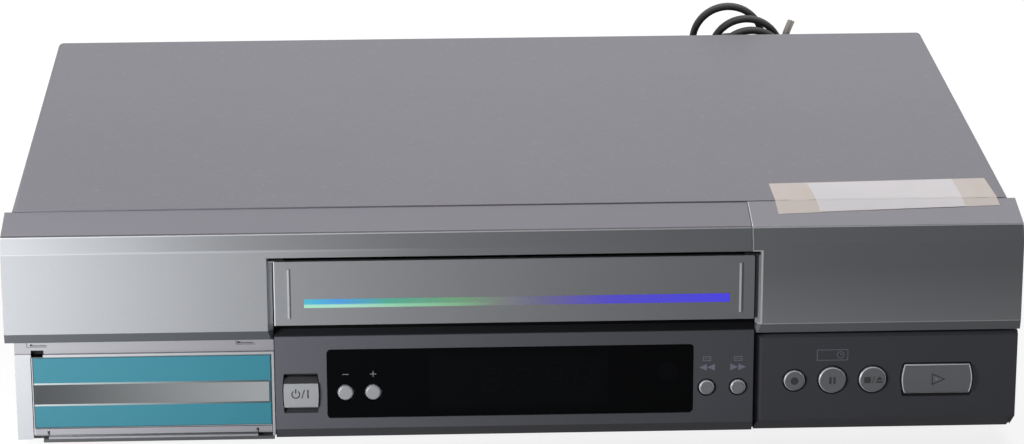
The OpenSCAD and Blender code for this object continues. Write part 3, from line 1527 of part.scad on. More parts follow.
module cord_hank() {
  points = concat([[118.3, hank_y, lead_low]], hank_points(),
    [[waist_x, tail_y, lead_low], [106, tail_y, lead_low], [98.2, tail_y, lead_low]]);
  gap = min([for (i = [0 : len(points) - 20], j = [i + 12 : len(points) - 1])
    let (d = points[i] - points[j])
    max(abs(d[1]) - lead_w, norm([d[0], d[2]]) - lead_t)]);
  echo(hank_self_gap = gap);
  color([0.13, 0.13, 0.13])
  at_rear_corner() flat_lead(points, 6, 1);
}

module cord_tie() {
  y = [hank_y - turn_pitch * 4.5 - lead_w / 2 - 0.5, hank_y + lead_w / 2 + 0.5];
  half = waist_half + lead_t / 2 + 0.4;
  color([0.6, 0.58, 0.55])
  at_rear_corner() {
    translate([0, 0, waist_z - 2])
      linear_extrude(4)
        difference() {
          round_rect([waist_x - half - 0.9, waist_x + half + 0.9], [y[0] - 0.9, y[1] + 0.9], 1.6);
          round_rect([waist_x - half, waist_x + half], y, 0.8);
        }
    strap(tie_route);
  }
}

// Free end of the tie, rising behind the hank and bending over it
tie_route = [[118.6, 134.6, 50], [121, 134.2, 57], [124.6, 134.2, 65], [129, 134.3, 73], [133.5, 134.6, 81],
  [136.6, 135.6, 88], [137.8, 138.4, 92.6], [138.4, 142.6, 95.2], [138.6, 147, 96.6]];

// A thin strap swept along points
module strap(route) {
  p = smooth(route, 2);
  n = len(p);
  corners = [[-1.5, -0.6], [1.5, -0.6], [1.5, 0.6], [-1.5, 0.6]];
  points = [for (i = [0 : n - 1])
    let (t = tangent(p, i), u = unit(cross(t, [0, 1, 0])), v = cross(u, t))
    for (c = corners) p[i] + u * c[0] + v * c[1]];
  faces = concat([[3, 2, 1, 0]], [[for (k = [0 : 3]) (n - 1) * 4 + k]],
    [for (i = [0 : n - 2], k = [0 : 3], half = [0, 1])
      let (a = i * 4 + k, b = i * 4 + (k + 1) % 4)
      half == 0 ? [a, b, b + 4] : [a, b + 4, a + 4]]);
  polyhedron(points, faces);
}

module mains_plug() {
  pin_gap = 18.6;
  color([0.12, 0.12, 0.12])
  at_rear_corner() {
    translate([plug_x, plug_y, 0])
      rotate([0, 0, 180])
        union() {
          along_x([14, 36])
            polygon([[-17.6, plug_z - 2.4], [-13, 0], [13, 0], [17.6, plug_z - 2.4], [17.6, plug_z + 2.4],
              [13, 2 * plug_z], [-13, 2 * plug_z], [-17.6, plug_z + 2.4]]);
          along_x([0, 14.1])
            round_rect([-6, 6], [2.6, 2 * plug_z - 2.6], 3);
        }
  }
  color([0.8, 0.78, 0.7])
  at_rear_corner()
  for (s = [-1, 1])
    bar_x(2, [plug_x - 55, plug_x - 35.9], plug_y + s * pin_gap / 2, plug_z);
}

top_cover();
bottom_plate();
rear_panel();
feet();
cover_screws();
front_frame();
band_end_cap();
centre_panel();
right_panel();
av_frame();
av_door();
cassette_flap();
display_window();
display_module();
ir_receiver();
av_sockets();
front_board();
tact_switches();
power_button();
channel_down_button();
channel_up_button();
rewind_button();
forward_button();
record_button();
pause_button();
stop_eject_button();
play_button();
main_board();
board_parts();
power_board();
transformer();
capacitors();
heat_sink();
tuner();
scart_sockets();
phono_sockets();
cord_gland();
deck_chassis();
left_bracket();
right_bracket();
housing_bridge();
carriage();
cassette_holder();
lower_drum();
upper_drum();
supply_reel();
takeup_reel();
capstan();
pinch_arm();
pinch_roller();
tape_heads();
supply_guide();
takeup_guide();
loading_motor();
loading_worm();
loading_gear();
power_cord();
cord_hank();
cord_tie();
mains_plug();
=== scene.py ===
"""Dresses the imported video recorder: paints, printed sheet, window, markings, tape, lead and stage."""

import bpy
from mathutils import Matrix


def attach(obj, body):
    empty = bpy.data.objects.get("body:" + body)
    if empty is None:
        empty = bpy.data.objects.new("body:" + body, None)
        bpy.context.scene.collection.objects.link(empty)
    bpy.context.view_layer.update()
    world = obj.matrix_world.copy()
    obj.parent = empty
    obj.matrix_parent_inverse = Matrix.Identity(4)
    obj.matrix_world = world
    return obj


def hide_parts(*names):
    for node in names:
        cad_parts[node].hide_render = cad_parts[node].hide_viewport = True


bl_info = {
    "name": "Video recorder finish",
    "version": (1, 0, 0),
    "blender": (4, 5, 0),
    "location": "3D View > Sidebar > Recorder",
    "description": "Builds the finish of a front-loading video recorder around its packed parts",
    "category": "Object",
}

from math import cos, pi, radians, sin

import bmesh
import bpy
from bpy.props import FloatProperty, FloatVectorProperty, IntProperty, PointerProperty
from mathutils import Euler, Vector

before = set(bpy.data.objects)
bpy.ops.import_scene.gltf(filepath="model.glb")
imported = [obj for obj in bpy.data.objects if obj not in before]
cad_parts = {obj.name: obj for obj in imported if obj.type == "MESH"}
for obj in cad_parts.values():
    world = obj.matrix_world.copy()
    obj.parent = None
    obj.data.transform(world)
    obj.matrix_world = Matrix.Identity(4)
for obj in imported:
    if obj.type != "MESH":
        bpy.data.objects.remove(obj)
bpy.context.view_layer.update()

MM = 0.001

# Y of the faces that look forwards and the thickness of print, in millimetres
FRONT = -135
CENTRE_FACE = -134
RIGHT_FACE = -133
DOOR_FACE = -133.1
FLAP_FACE = -134.8
WINDOW_FACE = -133.8
STRIP_FACE = -132.5
INK = 0.03

# Middle (X, Z) and radius of the round buttons, and X of the play button, in millimetres
WIND_Z, DECK_Z = 24.6, 26.5
WIND_BUTTONS = {"rewind_button": (76.1, WIND_Z, 3.0), "forward_button": (88.5, WIND_Z, 3.0)}
DECK_BUTTONS = {"record_button": (111.0, DECK_Z, 4.2), "pause_button": (126.1, DECK_Z, 5.4),
                "stop_eject_button": (142.2, DECK_Z, 5.4)}
PLAY_X = 167.7

# Foot, crease and crown of the band, middle and half width of the socket door, pitch and level of the
# sockets, and ends of the stripe on the flap, in millimetres
BAND_FOOT, BAND_CREASE, BAND_CROWN = 51.35, 84.7, 90.5
DOOR_X, DOOR_Z, DOOR_HALF = -142.9, 26.2, 46.6
FIRST_SOCKET_X, SOCKET_PITCH, SOCKET_Z = -173, 19.97, 25.55
STRIPE_LEFT, STRIPE_RIGHT = -82.5, 84.4

# Painted shade: near-black in the slot round the flap, on the flap's hinge ears and on the black sill below it, where
# these lie in shadow
GAP_SHADE = (15, 15, 16)
# Painted shade: near-black for the dark rings round the round buttons and the play button
WELL_SHADE = (22, 22, 24)


def tone(red, green, blue):
    """A linear colour from the 0 to 255 numbers of a colour picker."""
    def linear(level):
        level = level / 255
        return level / 12.92 if level <= 0.04045 else ((level + 0.055) / 1.055) ** 2.4
    return (linear(red), linear(green), linear(blue), 1.0)


def shifted(colour, step):
    """A picker colour made lighter by a step, or darker by one below 0."""
    return [c + step for c in colour]


def scaled(colour, factor):
    """A picker colour with its numbers multiplied."""
    return [c * factor for c in colour]


# Shader arithmetic

class Level:
    """A number carried by a shader socket, ready for plain arithmetic."""

    def __init__(self, network, socket):
        self.network = network
        self.socket = socket

    def maths(self, operation, *inputs, clamp=False):
        settings = {"operation": operation, "use_clamp": clamp}
        return self.network.node("ShaderNodeMath", settings, dict(enumerate(inputs))).level()

    def __add__(self, other):
        return self.maths("ADD", self, other)

    __radd__ = __add__

    def __sub__(self, other):
        return self.maths("SUBTRACT", self, other)

    def __rsub__(self, other):
        return self.maths("SUBTRACT", other, self)

    def __mul__(self, other):
        return self.maths("MULTIPLY", self, other)

    __rmul__ = __mul__

    def __pow__(self, other):
        return self.maths("POWER", self, other)

    def __gt__(self, other):
        return self.maths("GREATER_THAN", self, other)

    def __lt__(self, other):
        return self.maths("LESS_THAN", self, other)

    def held(self):
        """The same level kept between 0 and 1."""
        return self.maths("ADD", self, 0.0, clamp=True)

    def size(self):
        return self.maths("ABSOLUTE", self)

    def wave(self):
        return self.maths("SINE", self)

    def most(self, other):
        return self.maths("MAXIMUM", self, other)

    def ramp(self, low, high):
        """0 below low, 1 above high and straight between them."""
        return ((self - low) * (1.0 / (high - low))).held()

    def rise(self, low, high):
        """A ramp between two bounds in millimetres."""
        return self.ramp(low * MM, high * MM)

    def near(self, middle, reach):
        """1 within a reach of a middle, both in millimetres."""
        return (self - middle * MM).size() < reach * MM

    def within(self, low, high):
        """1 between two bounds in millimetres."""
        return (self > low * MM) * (self < high * MM)


class Fitting:
    """One shader node, whose outputs can be picked as levels or colours."""

    def __init__(self, network, made):
        self.network = network
        self.made = made

    def level(self, name=0):
        return Level(self.network, self.made.outputs[name])

    def out(self, name=0):
        return self.made.outputs[name]


class Network:
    """A node tree that is filled by one method."""

    def __init__(self, tree):
        self.tree = tree
        self.tree.nodes.clear()

    def join(self, socket, value):
        """Links a level or an output to an input, or sets a plain value on it."""
        if isinstance(value, Level):
            value = value.socket
        if isinstance(value, bpy.types.NodeSocket):
            self.tree.links.new(value, socket)
        else:
            socket.default_value = value

    def node(self, kind, settings=None, values=None):
        """Adds a node of a kind, with its settings first and then the values or links of its sockets."""
        made = self.tree.nodes.new(kind)
        for name, value in (settings or {}).items():
            setattr(made, name, value)
        for name, value in (values or {}).items():
            self.join(made.inputs[name], value)
        return Fitting(self, made)

    def seen(self):
        """1 for rays that show a surface: straight, mirrored or through glass."""
        path = self.node("ShaderNodeLightPath")
        return path.level("Is Camera Ray").most(path.level("Is Glossy Ray")).most(path.level("Is Transmission Ray"))


class Finish(Network):
    """A material being mixed: its nodes are added one by one and end in one Principled shader."""

    def __init__(self, name, **fixed):
        self.material = bpy.data.materials.new(name)
        self.material.use_nodes = True
        super().__init__(self.material.node_tree)
        self.shader = self.node("ShaderNodeBsdfPrincipled")
        self.node("ShaderNodeOutputMaterial", None, {"Surface": self.shader.out()})
        self.feed(**fixed)

    def feed(self, **sockets):
        """Sets or links sockets of the shader, named with underscores."""
        for name, value in sockets.items():
            self.join(self.shader.made.inputs[name.replace("_", " ")], value)

    def done(self, body, rough, height, depth, strength, **sockets):
        """Feeds the colour, the roughness and a bump of a depth in millimetres."""
        bump = self.node("ShaderNodeBump", None, {"Height": height, "Distance": depth * MM, "Strength": strength})
        self.feed(Base_Color=body, Roughness=rough, Normal=bump.out(), **sockets)
        return self

    def place(self, scale=(1, 1, 1), turn=(0, 0, 0), shift=(0, 0, 0)):
        """Object coordinates in metres, scaled, turned and shifted."""
        where = self.node("ShaderNodeTexCoord").out("Object")
        if scale == (1, 1, 1) and turn == (0, 0, 0) and shift == (0, 0, 0):
            return where
        return self.node("ShaderNodeMapping", {"vector_type": "TEXTURE" if turn != (0, 0, 0) else "POINT"},
                         {"Vector": where, "Location": shift, "Rotation": turn, "Scale": scale}).out()

    def axes(self, **kw):
        split = self.node("ShaderNodeSeparateXYZ", None, {0: self.place(**kw)})
        return split.level("X"), split.level("Y"), split.level("Z")

    def noise(self, scale, detail=2.0, roughness=0.5, stretch=(1, 1, 1)):
        return self.node("ShaderNodeTexNoise", None, {"Vector": self.place(scale=stretch), "Scale": scale,
                         "Detail": detail, "Roughness": roughness}).level("Fac")

    def cells(self, scale, feature="F1", output="Distance", randomness=1.0):
        return self.node("ShaderNodeTexVoronoi", {"feature": feature}, {"Vector": self.place(),
                         "Scale": scale, "Randomness": randomness}).level(output)

    def blend(self, factor, first, second):
        """Mixes two colours; a factor of 1 gives the second."""
        return self.node("ShaderNodeMix", {"data_type": "RGBA", "blend_type": "MIX", "clamp_factor": True},
                         {0: factor, 6: first, 7: second}).out(2)

    def over(self, body, *layers):
        """Lays picker colours over a body, each with the share of it that shows."""
        for share, colour in layers:
            body = self.blend(share, body, tone(*colour))
        return body

    def zoned(self, body, zones):
        """Lays zones over a body; zones(x, y, z) gives masks, each with the picker colour that shows."""
        return self.over(body, *zones(*self.axes())) if zones else body


# Masks on the front

def squared(x, z, x0, z0):
    """Squared distance from a point given in millimetres."""
    across, up = x - x0 * MM, z - z0 * MM
    return across * across + up * up


def inside(x, z, x0, z0, radius):
    """1 inside a circle given in millimetres."""
    return squared(x, z, x0, z0) < (radius * MM) ** 2


def play_reach(x, z):
    """Distance across from the play button's middle, which grows towards its bowed corners."""
    up = z - DECK_Z * MM
    return (x - PLAY_X * MM).size() + up * up * 30


# Finishes of this recorder

def worn(finish, scale, amount, base):
    """Roughness that wanders where hands and cloths have been."""
    smear = finish.noise(scale, 4, 0.6, (1, 1, 2.5))
    fine = finish.noise(scale * 14)
    return (base - amount / 2 + smear * amount + (fine - 0.5) * amount * 0.4).held()


def flake_paint(name, colour, sparkle=0.1, metal=0.05, gloss=0.5, zones=None):
    """Metallic paint on a moulding: fine flakes, a soft orange peel and wiped patches; zones lay other tones over it,
    mostly painted highlights and painted shade, some of them tones of the part itself."""
    finish = Finish(name, Specular_IOR_Level=0.18)
    flakes = finish.cells(5200)
    drift = finish.noise(7, 3, 0.55)
    base = tone(*colour)[:3]
    pale = tuple(min(1, c * (1 + sparkle)) for c in base) + (1,)
    deep = tuple(c * (1 - sparkle) for c in base) + (1,)
    body = finish.blend((flakes * 1.3).held() * 0.55 + (drift * 0.45), pale, deep)
    return finish.done(finish.zoned(body, zones), worn(finish, 11, 0.1, gloss),
                       finish.noise(900) * 0.6 + flakes * 0.4, 0.012, 0.6,
                       Metallic=(metal + (flakes - 0.35) * 0.1).held())


def cover_paint(colour):
    """Satin paint baked on the steel cover, with fine scratches, small marks and dust."""
    finish = Finish("cover_paint")
    grain = finish.noise(2600)
    body = finish.blend(finish.noise(5, 4, 0.6) * 0.5 + grain * 0.5, tone(*colour), tone(*shifted(colour, -9)))
    scratch = finish.noise(34, 3, 0.62, (1, 7, 1)).ramp(0.68, 0.74)
    speck = 1 - finish.cells(46).ramp(0.018, 0.03)
    dust = finish.noise(420, 2, 0.7).ramp(0.6, 0.75) * (finish.axes()[2] > 94.3 * MM)
    body = finish.over(body, (scratch * 0.05, (182, 180, 184)), (speck * 0.35, (92, 90, 94)),
                       (dust * 0.1, (214, 212, 210)))
    return finish.done(body, worn(finish, 6, 0.12, 0.5), finish.noise(1500) * 0.7 + grain * 0.3, 0.02, 0.5,
                       Metallic=0.05, Specular_IOR_Level=0.2)


def zinc_sheet(name, colour, painted=None):
    """Zinc-coated steel sheet with its faint spangle and rolling lines; painted(x, y, z) gives where
    it is painted grey."""
    finish = Finish(name)
    spangle = finish.cells(160, output="Color")
    rolled = finish.noise(60, 3, 0.6, (1, 26, 1))
    body = finish.blend(spangle * 0.45 + rolled * 0.55, tone(*shifted(colour, 14)), tone(*shifted(colour, -20)))
    metal = 0.9
    if painted:
        grey = painted(*finish.axes())
        body = finish.over(body, (grey, (70, 71, 74)))
        metal = 0.9 - grey * 0.9
    return finish.done(body, (0.3 + spangle * 0.12 + rolled * 0.12).held(), rolled, 0.01, 0.4, Metallic=metal)


def moulded(name, colour, rough, grain=0.5, zones=None):
    """Plain moulded plastic with an etched grain and slight flow marks."""
    finish = Finish(name)
    flow = finish.noise(14, 4, 0.6)
    etch = finish.cells(1700)
    body = finish.blend(flow * 0.6 + etch * 0.4, tone(*colour), tone(*scaled(colour, 0.82)))
    return finish.done(finish.zoned(body, zones), worn(finish, 18, 0.14, rough),
                       etch * 0.6 + finish.noise(600) * 0.4, 0.03, grain)


def turned_metal(name, colour, rough, centre=(0, 0, 0), lean=0, pitch=9000):
    """Turned metal with fine tool rings; the centre is given in millimetres and the lean in degrees."""
    finish = Finish(name)
    x, y, z = finish.axes(shift=tuple(c * MM for c in centre), turn=(0, radians(lean), 0))
    radius = (x * x + y * y) ** 0.5
    rings = (radius * pitch).wave() * 0.5 + 0.5
    along = (z * pitch * 0.8).wave() * 0.5 + 0.5
    stain = finish.noise(40, 3, 0.6)
    body = finish.blend(stain * 0.7 + rings * 0.3, tone(*colour), tone(*shifted(colour, -24)))
    return finish.done(body, (rough + rings * 0.06 + stain * 0.1).held(), rings * 0.5 + along * 0.5, 0.008, 0.5,
                       Metallic=0.95)


def circuit_board(name, colour, under):
    """Lacquered circuit board with copper tracks showing through and pale printed outlines."""
    finish = Finish(name)
    tracks = finish.cells(210, "DISTANCE_TO_EDGE", randomness=0.35)
    lanes = finish.node("ShaderNodeTexWave", {"wave_type": "BANDS", "bands_direction": "DIAGONAL"},
                        {"Vector": finish.place(), "Scale": 120, "Distortion": 9, "Detail": 1}).level()
    copper = (1 - tracks.ramp(0.05, 0.09)).most(lanes.ramp(0.72, 0.8))
    pads = 1 - finish.cells(320, randomness=0.25).ramp(0.16, 0.2)
    printed = 1 - finish.cells(70, "DISTANCE_TO_EDGE", randomness=0.1).ramp(0.012, 0.02)
    body = finish.over(tone(*colour), (copper, under), (pads * 0.8, (176, 178, 172)),
                       (printed * 0.7, (214, 216, 206)))
    return finish.done(body, worn(finish, 30, 0.1, 0.34), copper * 0.7 + pads * 0.3, 0.04, 0.6,
                       Coat_Weight=0.3, Coat_Roughness=0.2)


def black_rubber(name, colour, rough):
    """Flexible black rubber, faintly dusty, with a fine grain."""
    finish = Finish(name)
    bloom = finish.noise(60, 4, 0.65)
    grain = finish.noise(1900)
    body = finish.blend(bloom.ramp(0.45, 0.8) * 0.5 + grain * 0.2, tone(*colour), tone(*shifted(colour, 14)))
    return finish.done(body, (rough + bloom * 0.14).held(), grain, 0.03, 0.5)


def smoked_window():
    """Black window: a dull gloss over a dark sheet, with the display's field and the round receiver
    faintly behind it."""
    finish = Finish("smoked_window", Specular_IOR_Level=0.03)
    x, _, z = finish.axes()
    field = x.rise(-34, -33.4) * (1 - x.rise(36.4, 37)) * z.rise(16, 19) * (1 - z.rise(38, 41))
    eye = 1 - (squared(x, z, 60.6, 31.5) ** 0.5).rise(3.4, 4.4)
    haze = finish.noise(22, 3, 0.6)
    body = finish.over(tone(4, 5, 7), (field * 0.8, (11, 13, 15)), (eye * 0.5, (18, 19, 24)),
                       (haze * 0.12, (17, 18, 21)))
    return finish.done(body, (0.16 + finish.noise(12, 4, 0.6) * 0.08).held(), finish.noise(16), 0.02, 0.1)


def door_sheet_print(teal):
    """Printed sheet: two teal fields with a grey one between that pales to the right, and fine rules that are pale at
    the left and dark at the right; a painted shadow darkens the end of the grey field and painted shade its edges."""
    finish = Finish("door_sheet_print", Specular_IOR_Level=0.1)
    x, _, z = finish.axes()
    across = x.rise(-189.3, -96.2)
    low, high, end = 21.0, 29.9, -97.0
    teal_field = finish.blend(across, tone(*scaled(teal, 0.88)), tone(*scaled(teal, 1.06)))
    grey_field = finish.blend(across ** 1.5, tone(47, 49, 51), tone(164, 166, 168))
    in_grey = z.rise(low, low + 0.1) * (1 - z.rise(high - 0.1, high)) * (1 - x.rise(end - 0.1, end))
    ruled = z.near(low, 0.36).most(z.near(high, 0.36)) * (x < end * MM)
    rules = finish.blend(across, tone(178, 186, 188), tone(44, 54, 60))
    # Painted shadow where the grey field ends
    closing_shadow = x.near(end + 0.4, 0.35) * z.within(low, high)
    # Painted shade round the edges of the sheet, where it sits in its recess
    rim = ((x - DOOR_X * MM).size() > (DOOR_HALF - 0.2) * MM).most((z - DOOR_Z * MM).size() > 14.4 * MM)
    dots = finish.cells(2300, randomness=0.0).ramp(0.2, 0.6)
    scuff = finish.noise(30, 4, 0.65, (1, 1, 3)).ramp(0.66, 0.8)
    body = finish.blend(ruled * 0.9, finish.blend(in_grey, teal_field, grey_field), rules)
    body = finish.over(body, (closing_shadow * 0.8, (52, 62, 68)), (rim * 0.7, (34, 50, 56)),
                       (dots * 0.04, (230, 240, 240)), (scuff * 0.12, (150, 165, 168)))
    return finish.done(body, worn(finish, 20, 0.12, 0.4), finish.noise(45, 3), 0.05, 0.15)


def flap_stripe_ink():
    """Foil stripe that runs from cyan through green, fades out and returns in violet and blue."""
    finish = Finish("flap_stripe_ink", Metallic=0.85)
    x, _, z = finish.axes()
    along = x.rise(STRIPE_LEFT, STRIPE_RIGHT)
    hue = finish.node("ShaderNodeValToRGB", None, {"Fac": along})
    stops = hue.made.color_ramp.elements
    stops.remove(stops[-1])
    for index, (place, colour) in enumerate((
            (0.0, (84, 188, 214)), (0.08, (84, 160, 226)), (0.2, (90, 172, 150)), (0.36, (116, 164, 128)),
            (0.46, (128, 134, 132)), (0.56, (112, 108, 146)), (0.72, (88, 82, 204)), (1.0, (80, 74, 236)))):
        stop = stops.new(place) if index else stops[0]
        stop.position = place
        stop.color = tone(*colour)
    low_edge = (1 - z.rise(61.8, 62.4)) * (1 - along.ramp(0.1, 0.45))
    foil = finish.cells(2600)
    return finish.done(finish.over(hue.out(), (low_edge * 0.8, (186, 238, 196))), (0.2 + foil * 0.1).held(),
                       foil, 0.01, 0.12)


def paper(name, colour, edge, fold):
    """Paper or masking tape: fibres, slight yellowing and wrinkles."""
    finish = Finish(name)
    crease = finish.noise(70, 4, 0.6, (1, 0.35, 1))
    fibre = finish.noise(2400, 3, 0.7, (1, 0.4, 1))
    age = finish.noise(24, 3, 0.6)
    body = finish.over(tone(*colour), (age.ramp(0.35, 0.75), edge), (fibre * 0.12, (150, 142, 132)))
    return finish.done(body, (0.62 + crease * 0.15).held(), crease * 0.8 + fibre * 0.2, 0.12, fold)


def plain_ink(name, colour, rough=0.45, **sockets):
    """Printed ink with slightly uneven cover."""
    finish = Finish(name, **sockets)
    cover = finish.noise(1500)
    finish.feed(Base_Color=finish.blend(cover * 0.5, tone(*colour), tone(*scaled(colour, 0.8))),
                Roughness=(rough + cover * 0.1).held())
    return finish


def stacked_iron():
    """Edges of varnished iron laminations, with the copper-coloured winding at both ends."""
    finish = Finish("stacked_iron")
    y = finish.axes()[1]
    sheets = (y * 12500).wave() * 0.5 + 0.5
    rust = finish.noise(90, 4, 0.65)
    wound = (y < 39 * MM).most(y > 73 * MM)
    body = finish.over(tone(92, 82, 74), (sheets * 0.6 + rust * 0.4, (54, 44, 38)), (wound, (198, 158, 62)))
    return finish.done(body, (0.4 + rust * 0.2).held(), sheets, 0.1, 0.6, Metallic=0.4)


# Pieces

def placed(name, data):
    """An object of a mesh, lamp or camera, put into the scene."""
    item = bpy.data.objects.new(name, data)
    bpy.context.scene.collection.objects.link(item)
    return item


def finish_piece(name, bm, finish, body, smooth=None, ease=0.0, segments=2):
    """Makes a mesh object of a bmesh, gives it its material and lets it ride on a body."""
    bmesh.ops.remove_doubles(bm, verts=bm.verts, dist=1e-7)
    mesh = bpy.data.meshes.new(name)
    bm.to_mesh(mesh)
    bm.free()
    piece = placed(name, mesh)
    piece.data.materials.append(finish.material)
    if smooth is not None:
        for face in mesh.polygons:
            face.use_smooth = True
        mesh.set_sharp_from_angle(angle=radians(smooth))
    if ease:
        edge = piece.modifiers.new("eased", "BEVEL")
        edge.width = ease
        edge.segments = segments
        edge.limit_method = "ANGLE"
        edge.angle_limit = radians(15)
        edge.harden_normals = True
    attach(piece, body)
    return piece


def eased(node, finish, body, width):
    """A copy of a CAD node with its edges rounded over, which stands for the node."""
    bm = bmesh.new()
    bm.from_mesh(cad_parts[node].data)
    bmesh.ops.remove_doubles(bm, verts=bm.verts, dist=2e-6)
    bmesh.ops.dissolve_limit(bm, angle_limit=radians(0.6), use_dissolve_boundaries=False,
                             verts=bm.verts, edges=bm.edges)
    piece = finish_piece(node + "_shell", bm, finish, body, 12, width)
    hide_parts(node)


def dress(finish, *nodes):
    """Puts a material on CAD nodes that keep their shape."""
    for node in nodes:
        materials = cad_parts[node].data.materials
        materials.clear()
        materials.append(finish.material)


# Flat print, with every number in millimetres

def plate(bm, corners, y, depth=INK):
    """An outline in X and Z on a face that looks forwards, raised by a depth."""
    face = bm.faces.new([bm.verts.new((x * MM, y * MM, z * MM)) for x, z in corners])
    raised = bmesh.ops.extrude_face_region(bm, geom=[face])
    moved = [item for item in raised["geom"] if isinstance(item, bmesh.types.BMVert)]
    bmesh.ops.translate(bm, verts=moved, vec=(0, -depth * MM, 0))


def around(x, z, radius, degrees):
    """A point on a circle."""
    return (x + radius * cos(radians(degrees)), z + radius * sin(radians(degrees)))


def disc(bm, x, z, radius, y, depth=INK, segments=32):
    plate(bm, [around(x, z, radius, 360 * i / segments) for i in range(segments)], y, depth)


def bar(bm, x, z, width, height, y, depth=INK, lean=0.0):
    """An upright bar about its middle, which may lean to the right."""
    half, top, shift = width / 2, height / 2, lean / 2
    plate(bm, [(x - half - shift, z - top), (x + half - shift, z - top), (x + half + shift, z + top),
               (x - half + shift, z + top)], y, depth)


def ring(bm, x, z, radius, line, y, depth, start, turn, segments):
    """Part of a ring drawn with a line of a width."""
    inner, outer = radius - line / 2, radius + line / 2
    for i in range(segments):
        a0, a1 = start + turn * i / segments, start + turn * (i + 1) / segments
        plate(bm, [around(x, z, inner, a0), around(x, z, outer, a0), around(x, z, outer, a1),
                   around(x, z, inner, a1)], y, depth)


def rule_box(bm, x, z, width, height, line, y):
    """An outlined box."""
    for side in (-1, 1):
        bar(bm, x + side * (width - line) / 2, z, line, height, y)
        bar(bm, x, z + side * (height - line) / 2, width - 2 * line, line, y)


# Sizes and colours that can be changed

def picked(name, what, default):
    """A colour of the front, with the 0 to 255 numbers of a colour picker."""
    return FloatVectorProperty(name=name, description="Colour of the %s, 0 to 255" % what, size=3,
                               default=default, min=0, max=255)


class FrontColours(bpy.types.PropertyGroup):
    """Paints of the front and the cover."""

    silver: picked("Silver front", "metallic front", (158, 160, 164))
    dark: picked("Lower panels", "dark panels", (98, 99, 106))
    cover: picked("Cover", "steel cover", (136, 134, 142))
    teal: picked("Door sheet", "printed sheet", (44, 124, 142))
    easing: FloatProperty(name="Edge rounding", description="Radius of the lower panels' edges",
                          default=0.35 * MM, min=0.05 * MM, max=0.8 * MM, unit="LENGTH")


class LeadSizes(bpy.types.PropertyGroup):
    """The mains lead and its hank."""

    length: FloatProperty(name="Length", description="Length of the mains lead", default=1.5, min=1.0, max=2.0,
                          unit="LENGTH")
    width: FloatProperty(name="Width", description="Width of the flat lead", default=5.4 * MM, min=5 * MM,
                         max=6 * MM, unit="LENGTH")
    sides: IntProperty(name="Sides", description="Sides of the lead's section", default=16, min=8, max=32)


class StageSettings(bpy.types.PropertyGroup):
    """Camera, lamps and floor."""

    lens: FloatProperty(name="Lens", description="Focal length for a 36 mm sensor", default=129.5, min=35,
                        max=300, subtype="DISTANCE_CAMERA")
    overhead: FloatProperty(name="Overhead lamp", description="Power of the soft lamp above", default=57.5,
                            min=0, max=200, unit="POWER")
    side: FloatProperty(name="Left lamp", description="Power of the low lamp at the left", default=0.88,
                        min=0, max=20, unit="POWER")
    fill: FloatProperty(name="World", description="Strength of the surrounding light", default=0.06, min=0,
                        max=2)


# Stage

class RECORDER_OT_stage(bpy.types.Operator):
    """Adds the camera, the pale floor, the lamps and the world"""

    bl_idname = "recorder.stage"
    bl_label = "Stage"

    def execute(self, context):
        settings = context.scene.recorder_stage
        self.camera(context, settings)
        self.floor()
        self.lamp("overhead", (0, 1.3, 1.9), (0, 1.3, 0), (3.0, 2.3), settings.overhead, 180)
        self.lamp("left_low", (-0.31, -0.32, 0.075), (-0.15, -0.135, 0.05), (0.12, 0.1), settings.side, 170)
        self.world(context, settings)
        context.scene.view_settings.view_transform = "Standard"
        return {"FINISHED"}

    def camera(self, context, settings):
        """A camera that sees the front slightly from above, as fitted to the photograph."""
        data = bpy.data.cameras.new("viewpoint")
        data.sensor_width = 36
        data.lens = settings.lens
        data.shift_x = 0.0095
        data.shift_y = -0.0174
        data.clip_end = 20
        camera = placed("viewpoint", data)
        camera.location = (-0.05304, -1.49314, 0.5520)
        camera.rotation_euler = Euler((radians(71.697), radians(0.157), radians(-2.088)))
        context.scene.camera = camera

    def floor(self):
        """One pale sheet on the table, wide enough for a camera on any side."""
        bm = bmesh.new()
        bmesh.ops.create_grid(bm, x_segments=2, y_segments=2, size=7)
        mesh = bpy.data.meshes.new("table_sheet")
        bm.to_mesh(mesh)
        bm.free()
        sheet = placed("table_sheet", mesh)
        finish = Finish("sheet_paper", Roughness=0.9, Specular_IOR_Level=0.1, Emission_Strength=1.0)
        seen = finish.seen()
        finish.feed(Base_Color=finish.blend(seen, (0.28, 0.28, 0.28, 1), (0.22, 0.22, 0.22, 1)),
                    Emission_Color=finish.blend(seen, (0, 0, 0, 1), (0.82, 0.82, 0.82, 1)))
        mesh.materials.append(finish.material)

    def lamp(self, name, place, aim, size, power, spread):
        data = bpy.data.lights.new(name, "AREA")
        data.shape = "RECTANGLE"
        data.size, data.size_y = size
        data.energy = power
        data.spread = radians(spread)
        lamp = placed(name, data)
        lamp.location = place
        lamp.rotation_euler = (Vector(aim) - Vector(place)).to_track_quat("-Z", "Y").to_euler()

    def world(self, context, settings):
        """Faint light on the object, and white where the surroundings are seen."""
        world = bpy.data.worlds.new("surroundings")
        context.scene.world = world
        world.use_nodes = True
        sky = Network(world.node_tree)
        light = sky.node("ShaderNodeBackground", None, {"Color": (0.95, 0.97, 1, 1), "Strength": settings.fill})
        white = sky.node("ShaderNodeBackground", None, {"Color": (1, 1, 1, 1), "Strength": 1.0})
        mix = sky.node("ShaderNodeMixShader", None, {0: sky.seen(), 1: light.out(), 2: white.out()})
        sky.node("ShaderNodeOutputWorld", None, {"Surface": mix.out()})


# Mains lead, with its course in millimetres

